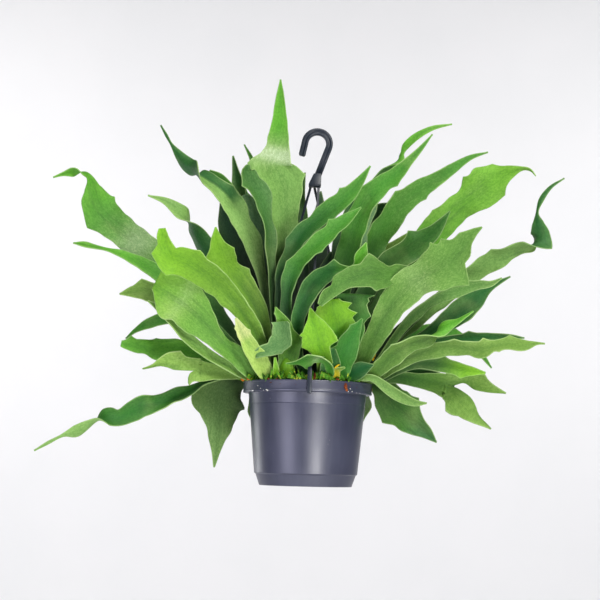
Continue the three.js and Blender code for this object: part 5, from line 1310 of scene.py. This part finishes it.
def block_ring(size, z, lean=0):
    """The four corners of the block at a height."""
    w, d = size
    return [(BLOCK_X + lean + i * w / 2, j * d / 2, z) for i, j in ((-1, -1), (1, -1), (1, 1), (-1, 1))]


block = piece("hook_block", *carried([
    block_ring(BLOCK_FOOT, BLOCK_Z), block_ring(BLOCK_FOOT, BLOCK_Z + BLOCK_BAND),
    block_ring(BLOCK_TOP, BLOCK_TOP_Z, BLOCK_LEAN)]), HANGER_FINISH, (), "hanger_plastic")
eased_edges(block, 0.8, 3)
pin_rings = [[(BLOCK_X + r * math.cos(a), y, PIN_Z + r * math.sin(a))
              for a in np.linspace(0, 2 * math.pi, 16, endpoint=False)]
             for y, r in ((DISH_DEPTH - PIN_HALF, DISH_R), (-PIN_HALF, PIN_R), (PIN_HALF, PIN_R),
                          (PIN_HALF - DISH_DEPTH, DISH_R))]
pin = piece("hook_pin", *carried(pin_rings), HANGER_FINISH, (), "hanger_plastic")
outward_mesh(pin)
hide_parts("hanger_hook")
print("hook bar:", len(hook.data.polygons), "faces")


# %% The strands
STRAND_W, STRAND_T, CLIP_W, CLIP_TOP, TOE_GAP = 3, 2, 5, 8, 1.2


def strand(name, degrees, rim, top):
    """Taut from the block to the rim, then down the outside of the band, with a toe under it."""
    azimuth = math.radians(degrees)
    outward = np.array([math.cos(azimuth), math.sin(azimuth), 0])
    side = np.array([-math.sin(azimuth), math.cos(azimuth), 0])
    face = RIM_R + GAP + STRAND_T / 2
    under = RIM_Z - BAND_H - GAP - STRAND_T / 2

    def at(r, z):
        return outward * r + side * rim + UP * z

    begin = np.array([BLOCK_X + top[0], top[1], BLOCK_Z - GAP])
    shoulder = at(face, RIM_Z + CLIP_TOP)
    taut = shoulder - begin
    normal = np.cross(side, taut)
    normal /= np.linalg.norm(normal)
    normal *= 1 if normal @ outward > 0 else -1
    bent = normal + outward
    bent /= np.linalg.norm(bent)
    path = [
        (begin, outward, STRAND_W), (begin + taut * 0.93, normal, STRAND_W), (shoulder, bent, CLIP_W),
        (at(face, under), outward - UP, CLIP_W), (at(WALL_TOP_R + TOE_GAP, under), -UP, STRAND_W),
    ]
    square = ((-0.5, -0.5), (0.5, -0.5), (0.5, 0.5), (-0.5, 0.5))
    rings = [[p + n * u * STRAND_T + side * v * w for u, v in square] for p, n, w in path]
    made = piece("strand_" + name, *carried(rings), HANGER_FINISH, (), "hanger_plastic")
    eased_edges(made, 0.45)
    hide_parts("hanger_strand_" + name)


strand("front", -90, 1.5, (4.4, -3.2))
strand("right", 38, 0, (-0.3, 3.4))
strand("left", 142, 0, (-5, 0.6))
print("width of a strand:", STRAND_W, "mm, and of its clip:", CLIP_W, "mm")

# %% [markdown]
# ## The soil
# The pot is filled with peat and coir. Its top is a shallow mound with lumps, made on a polar grid from a
# few waves of fixed phase, so that it is the same every time. The soil is closed below, since a solid that
# is cut or weighed has to be whole.

# %% The soil in the pot
SOIL_SIDES, SOIL_RINGS = 144, 30
SOIL_R = RIM_R - WALL_T - 0.6
LUMPS = [(0.31, 0.12, 0.3, 0.8), (-0.17, 0.36, 1.9, 0.6), (0.52, -0.41, 4.1, 0.5), (0.9, 0.75, 2.2, 0.35),
         (-1.2, 0.6, 0.9, 0.28), (0.4, 1.5, 5.0, 0.22)]


def soil_height(x, y):
    """Height of the soil's top at a place, in millimetres."""
    lumps = sum(h * math.sin(a * x + b * y + c) for a, b, c, h in LUMPS)
    return SOIL_Z - 1.2 + 0.8 * lumps - 2.2 * (math.hypot(x, y) / SOIL_R) ** 4


soil_points, soil_faces = [(0, 0, soil_height(0, 0))], []
for ring in range(1, SOIL_RINGS + 1):
    for i in range(SOIL_SIDES):
        a, r = 2 * math.pi * i / SOIL_SIDES, SOIL_R * ring / SOIL_RINGS
        x, y = r * math.cos(a), r * math.sin(a)
        soil_points.append((x, y, soil_height(x, y)))
for r, z in ((SOIL_R, BAND_Z + 3), (WALL_TOP_R - 2.4, BAND_Z + 2), (WALL_LOW_R - 2.4, STEP_Z + 3),
             (FOOT_R - 3, FLOOR_T + 1.8)):
    for i in range(SOIL_SIDES):
        a = 2 * math.pi * i / SOIL_SIDES
        soil_points.append((r * math.cos(a), r * math.sin(a), z))
soil_points.append((0, 0, FLOOR_T + 1.8))
soil_faces += [(0, 1 + i, 1 + (i + 1) % SOIL_SIDES) for i in range(SOIL_SIDES)]
for ring in range(SOIL_RINGS + 3):
    inner = 1 + ring * SOIL_SIDES
    for i in range(SOIL_SIDES):
        j = (i + 1) % SOIL_SIDES
        soil_faces.append((inner + i, inner + SOIL_SIDES + i, inner + SOIL_SIDES + j, inner + j))
last = 1 + (SOIL_RINGS + 3) * SOIL_SIDES
soil_faces += [(last + (i + 1) % SOIL_SIDES, last + i, len(soil_points) - 1) for i in range(SOIL_SIDES)]

f = Finish("soil", Specular_IOR_Level=0.2)
crumbs, damp = f.noise(260, 4.0, 0.7), f.noise(30, 2.0)
earth = f.mix(crumbs.ramp(0.3, 0.7), linear("1c130c"), linear("5a4029"))
earth = f.mix(damp.ramp(0.35, 0.7) * 0.6, earth, linear("2a2a14"))
SOIL_FINISH = f.feed(earth, crumbs * 0.2 + 0.7, crumbs, depth=0.0015, strength=0.8)
soil = piece("soil_mound", soil_points, soil_faces, SOIL_FINISH, ["soil"], "soil")
outward_mesh(soil)
print("soil:", len(soil.data.polygons), "faces")

# %% [markdown]
# ## Moss, leaflets and coir
# On the soil of such a pot lie coir fibres and crumbs of bark, and moss and young leaflets stand between
# the stalks. They repeat by the hundred, so Geometry Nodes scatter them. One small tree puts points on the
# top of the soil, stands a small shape on each, turns and sizes it at random from a fixed seed, and makes
# it all real. What comes out is an ordinary mesh.

# %% Small shapes, one unit long
def sprout(t, bend, width, thick):
    """A bent, tapering blade."""
    curve = t.node("GeometryNodeCurveQuadraticBezier", None, {
        "Resolution": 5, "Start": (0, 0, 0), "Middle": (0, 0, 0.6), "End": (bend, 0, 0.9)})
    along = t.node("GeometryNodeSplineParameter")
    taper = 1 - along * along * 0.85
    curve = t.node("GeometryNodeSetCurveRadius", None, {"Curve": curve, "Radius": taper})
    ring = t.node("GeometryNodeCurvePrimitiveCircle", None, {"Resolution": 5, "Radius": 1.0})
    ring = t.node("GeometryNodeTransform", None, {"Geometry": ring, "Scale": (thick, width, 1)})
    return t.node("GeometryNodeCurveToMesh", None, {"Curve": curve, "Profile Curve": ring, "Fill Caps": True})


def fibre(t):
    """A coir fibre, bowed, lying down."""
    curve = t.node("GeometryNodeCurveQuadraticBezier", None, {
        "Resolution": 6, "Start": (-0.5, 0, 0), "Middle": (0.05, 0.3, 0.35), "End": (0.5, 0, 0.02)})
    ring = t.node("GeometryNodeCurvePrimitiveCircle", None, {"Resolution": 4, "Radius": 0.022})
    return t.node("GeometryNodeCurveToMesh", None, {"Curve": curve, "Profile Curve": ring, "Fill Caps": True})


def crumb(t):
    """A flat crumb of bark."""
    ball = t.node("GeometryNodeMeshIcoSphere", None, {"Radius": 0.5, "Subdivisions": 1})
    return t.node("GeometryNodeTransform", None, {"Geometry": ball, "Scale": (1, 0.6, 0.35)})


# %% A tree that scatters a small shape over the soil
def scatter(name, shape, finish, **values):
    """Runs the tree over the soil's top, and gives back the piece."""
    group = bpy.data.node_groups.new(name, "GeometryNodeTree")
    labels = {"Geometry": "Geometry", "Density": "Float", "Inside": "Float", "Smallest": "Float",
              "Largest": "Float", "Lean": "Float", "Seed": "Int"}
    sockets = {label: group.interface.new_socket(label, in_out="INPUT", socket_type="NodeSocket" + kind)
               for label, kind in labels.items()}
    group.interface.new_socket("Geometry", in_out="OUTPUT", socket_type="NodeSocketGeometry")
    t = Tree(group)
    given = group.nodes.new("NodeGroupInput")
    inputs = {label: Wire(t, given.outputs[label]) for label in labels}
    up = t.node("ShaderNodeSeparateXYZ", None, {0: t.node("GeometryNodeInputNormal")}, output=2)
    place = t.node("GeometryNodeInputPosition")
    x, y = (t.node("ShaderNodeSeparateXYZ", None, {0: place}, output=i) for i in (0, 1))
    x = x + HOOK_X / 1000
    radius = (x * x + y * y) ** 0.5
    chosen = (up.maths("GREATER_THAN", up, 0.8)) * radius.maths("GREATER_THAN", radius, inputs["Inside"])
    spots = t.node("GeometryNodeDistributePointsOnFaces", None, {
        "Mesh": inputs["Geometry"], "Selection": chosen, "Density": inputs["Density"],
        "Seed": inputs["Seed"]})
    lean = inputs["Lean"]
    low = t.node("ShaderNodeCombineXYZ", None, {0: lean * -1.0, 1: lean * -1.0, 2: 0.0})
    high = t.node("ShaderNodeCombineXYZ", None, {0: lean, 1: lean, 2: 2 * math.pi})
    spin = t.node("FunctionNodeRandomValue", {"data_type": "FLOAT_VECTOR"},
                  {0: low, 1: high, "Seed": inputs["Seed"] + 1.0})
    size = t.node("FunctionNodeRandomValue", {"data_type": "FLOAT"},
                  {2: inputs["Smallest"], 3: inputs["Largest"], "Seed": inputs["Seed"] + 2.0}, output=1)
    stood = t.node("GeometryNodeInstanceOnPoints", None, {
        "Points": spots, "Instance": shape(t), "Rotation": spin, "Scale": size})
    real = t.node("GeometryNodeRealizeInstances", None, {"Geometry": stood})
    done = t.node("GeometryNodeSetMaterial", None, {"Geometry": real, "Material": finish})
    group.links.new(done.socket, group.nodes.new("NodeGroupOutput").inputs[0])
    made = linked(name, soil.data.copy())
    modifier = made.modifiers.new("scatter", "NODES")
    modifier.node_group = group
    for label, value in values.items():
        modifier[sockets[label].identifier] = value
    applied(made)
    outward_mesh(made)
    declare(made)
    print(name + ":", len(made.data.polygons), "faces")
    return made


# %% Moss and leaflets
def speckled(name, dark, middle, light, lumps, rough):
    """A matt finish in three tones, mottled from one small thing to the next."""
    f = Finish(name, Specular_IOR_Level=0.2)
    spots, grain = f.noise(lumps, 2.0, 0.6), f.noise(1400, 1.0)
    colour = f.mix(spots.ramp(0.32, 0.5), linear(dark), linear(middle))
    colour = f.mix(spots.ramp(0.52, 0.68), colour, linear(light))
    return f.feed(f.mix(grain * 0.25, colour, linear(dark)), grain * 0.2 + rough)


MOSS = speckled("moss", "1a3a0c", "4f8c1c", "bcc640", 130, 0.55)
COIR = speckled("coir", "2c1509", "6e3a14", "b06a28", 130, 0.7)
scatter("moss", lambda t: sprout(t, 0.35, 0.10, 0.07), MOSS,
        Density=150000.0, Inside=0.030, Smallest=0.0018, Largest=0.0042, Lean=0.5, Seed=4)
scatter("leaflets", lambda t: sprout(t, 0.5, 0.17, 0.04), MOSS,
        Density=26000.0, Inside=0.036, Smallest=0.005, Largest=0.012, Lean=0.45, Seed=11)
scatter("rim_leaflets", lambda t: sprout(t, 0.6, 0.20, 0.04), MOSS,
        Density=42000.0, Inside=0.060, Smallest=0.009, Largest=0.017, Lean=0.40, Seed=17)
scatter("coir_fibres", fibre, COIR, Density=30000.0, Inside=0.0, Smallest=0.006, Largest=0.014, Lean=0.35,
        Seed=21)
scatter("bark_crumbs", crumb, COIR, Density=60000.0, Inside=0.0, Smallest=0.0015, Largest=0.004, Lean=0.8,
        Seed=31)

# %% [markdown]
# A few larger scraps lie where they fell: two of orange bark on the rim, a rust-brown one stuck to the band,
# dry yellow strips between the stalks, and white grains of perlite along the foot of the band. They are
# lumpy, so that they don't look machined.

# %% Scraps on the rim
def scraps(name, finish, places):
    """Lumps at (x, y, z), each with a length, a width, a height, and turns about Z and Y in degrees."""
    work = bmesh.new()
    for n, (x, y, z, long, wide, high, turn, tilt) in enumerate(places):
        made = bmesh.ops.create_icosphere(work, subdivisions=3, radius=0.5)["verts"]
        spin = Matrix.Rotation(math.radians(turn), 3, "Z") @ Matrix.Rotation(math.radians(tilt), 3, "Y")
        for vertex in made:
            u = vertex.co
            lump = 1 + 0.22 * math.sin(7 * u.x + n) * math.sin(9 * u.y + 2 * n)
            lump += 0.10 * math.sin(17 * u.z + n)
            local = Vector((u.x * long, u.y * wide, u.z * high)) * lump
            vertex.co = Vector(placed(np.array(spin @ local) + np.array([x, y, z])))
    mesh = bpy.data.meshes.new(name)
    work.to_mesh(mesh)
    work.free()
    declare(dressed(name, mesh, finish))
    print(name + ":", len(places), "pieces")


scraps("orange_bark", speckled("orange_bark", "6a2606", "c8620e", "e8891c", 240, 0.5), [
    (-74.5, -21.0, 121.6, 5.5, 4.6, 7.0, 20, 30), (-71.5, -29.0, 121.4, 9.0, 4.4, 4.6, -62, -8),
    (-67.5, -37.5, 121.2, 8.0, 4.0, 4.6, -52, 4)])
scraps("rust_bark", speckled("rust_bark", "260d05", "6e3014", "9c5424", 300, 0.6), [
    (42.3, -62.2, 113.0, 4.6, 1.4, 6.4, 34, 0), (43.6, -61.3, 109.2, 3.2, 1.2, 3.6, 35, 10),
    (-45.0, -60.0, 119.6, 4.0, 2.0, 1.6, -50, 0), (-35.0, -66.0, 119.5, 3.0, 2.0, 1.6, -20, 0),
    (7.0, -70.0, 123.0, 2.2, 2.0, 9.0, 0, 6), (33.0, -64.0, 120.6, 4.0, 2.0, 2.0, 20, 0)])
scraps("dry_strips", speckled("dry_strips", "7a4a06", "d9b511", "ecd83a", 150, 0.5), [
    (75.5, -36.0, 153.0, 3.0, 1.0, 19.0, 0, 14), (31.5, -70.0, 134.5, 2.4, 1.4, 7.0, 0, 50)])
scraps("perlite", speckled("perlite", "8f8f88", "cfcfc8", "f4f3ee", 500, 0.6), [
    (-62.8, -42.0, 106.6, 3.2, 1.6, 1.3, -55, -10), (-46.0, -59.8, 106.9, 3.6, 1.4, 1.5, -38, 25),
    (-56.8, -50.0, 112.0, 0.9, 0.7, 0.9, 0, 0), (-53.5, -53.5, 109.0, 0.9, 0.7, 0.8, 0, 0),
    (-50.0, -56.2, 106.8, 0.9, 0.7, 0.7, 0, 0), (47.6, -58.6, 110.5, 1.6, 1.0, 1.3, 40, 0),
    (45.4, -60.3, 107.0, 1.4, 0.9, 1.2, 40, 0), (49.8, -56.7, 107.6, 1.3, 0.9, 1.3, 40, 20),
    (55.0, -51.6, 106.4, 1.2, 0.8, 0.6, 45, 0), (59.0, -47.0, 106.4, 1.6, 0.8, 0.6, 50, 0)])

# %% [markdown]
# ## Floor, backdrop, light and camera
# A pale sweep of paper stands well behind the plant and runs forward under it, so nothing draws the eye
# from the fronds. A broad soft lamp stands to the right and above, with a weak one on the left to fill
# its shadows and one overhead for the upper fronds. Two low lamps lift the dark pot, one behind it draws
# its outline, and two more light the paper alone.

# %% The sweep of paper
f = Finish("paper", Specular_IOR_Level=0.2)
paper = f.feed(f.mix(f.noise(3, 3.0).ramp(0.3, 0.7) * 0.5, linear("eeeef0"), linear("e9eaec")),
               f.noise(60) * 0.1 + 0.75)
FLOOR_Z, SWEEP_R, FRONT_Y, BACK_Y, TOP_Z, HALF_WIDTH, SWEEP_STEPS = -1.35, 0.9, -4.5, 3.2, 3.0, 4.5, 24
curve = [(FRONT_Y, FLOOR_Z)]
for i in range(SWEEP_STEPS + 1):
    a = i / SWEEP_STEPS * math.pi / 2
    curve.append((BACK_Y - SWEEP_R + SWEEP_R * math.sin(a), FLOOR_Z + SWEEP_R - SWEEP_R * math.cos(a)))
curve.append((BACK_Y, TOP_Z))
mesh = bpy.data.meshes.new("sweep")
mesh.from_pydata([(x, y, z) for y, z in curve for x in (-HALF_WIDTH, HALF_WIDTH)], [],
                 [(2 * i, 2 * i + 1, 2 * i + 3, 2 * i + 2) for i in range(len(curve) - 1)])
sweep = dressed("sweep", mesh, paper)
print("the paper stands", BACK_Y, "m behind the pot")


# %% The lights
def soft_light(name, where, target, size, watts, colour):
    """A square lamp that faces a point."""
    data = bpy.data.lights.new(name, "AREA")
    data.shape, data.size, data.energy, data.color = "SQUARE", size, watts, colour
    lamp = linked(name, data)
    lamp.location = where
    lamp.visible_camera = False
    lamp.rotation_euler = (Vector(target) - Vector(where)).to_track_quat("-Z", "Y").to_euler()


MIDDLE, POT_MIDDLE = (0, 0, -0.2), (0, 0, -0.35)
LAMPS = [
    ("key", (0.95, -1.8, 0.9), MIDDLE, 0.7, 41, (1.0, 0.99, 0.95)),
    ("fill", (-1.6, -1.2, -0.2), MIDDLE, 0.8, 3, (0.88, 0.86, 1.0)),
    ("low", (0.70, -1.8, -0.95), POT_MIDDLE, 0.55, 18, (1.0, 0.99, 1.0)),
    ("low left", (-1.2, -1.5, -0.8), POT_MIDDLE, 0.85, 12, (0.80, 0.79, 1.0)),
    ("rim", (-1.5, 1.1, -0.5), POT_MIDDLE, 0.6, 6, (0.96, 0.98, 1.0)),
    ("top", (-0.1, -0.5, 1.7), MIDDLE, 0.9, 16, (1.0, 1.0, 0.98)),
    ("backdrop left", (-1.7, 1.5, 0.7), (-0.5, 3.2, -0.2), 1.2, 28.5, (1.0, 0.99, 0.975)),
    ("backdrop right", (1.7, 1.5, 0.7), (0.5, 3.2, -0.2), 1.2, 22.5, (1.0, 0.99, 0.975)),
]
for lamp_values in LAMPS:
    soft_light(*lamp_values)
print("lamps:", len(LAMPS))

# %% The light of the room
ROOM_COLOUR, ROOM_STRENGTH = (0.93, 0.95, 1.0, 1), 0.08
world = bpy.data.worlds.new("studio")
world.use_nodes = True
world.node_tree.nodes["Background"].inputs[0].default_value = ROOM_COLOUR
world.node_tree.nodes["Background"].inputs[1].default_value = ROOM_STRENGTH
bpy.context.scene.world = world
bpy.context.scene.view_settings.view_transform = "Standard"

# %% The camera
CAMERA_PITCH, CAMERA_ROLL = math.radians(6.35), math.radians(1.42)
camera = linked("camera", bpy.data.cameras.new("camera"))
camera.data.lens, camera.data.sensor_width = 87.5, 36
camera.location = placed([EYE_X, -EYE_DISTANCE, EYE_Z])
turn = Matrix.Rotation(math.pi / 2 + CAMERA_PITCH, 3, "X") @ Matrix.Rotation(CAMERA_ROLL, 3, "Z")
camera.rotation_euler = turn.to_euler()
bpy.context.scene.camera = camera
print("camera at", tuple(round(v, 3) for v in camera.location))
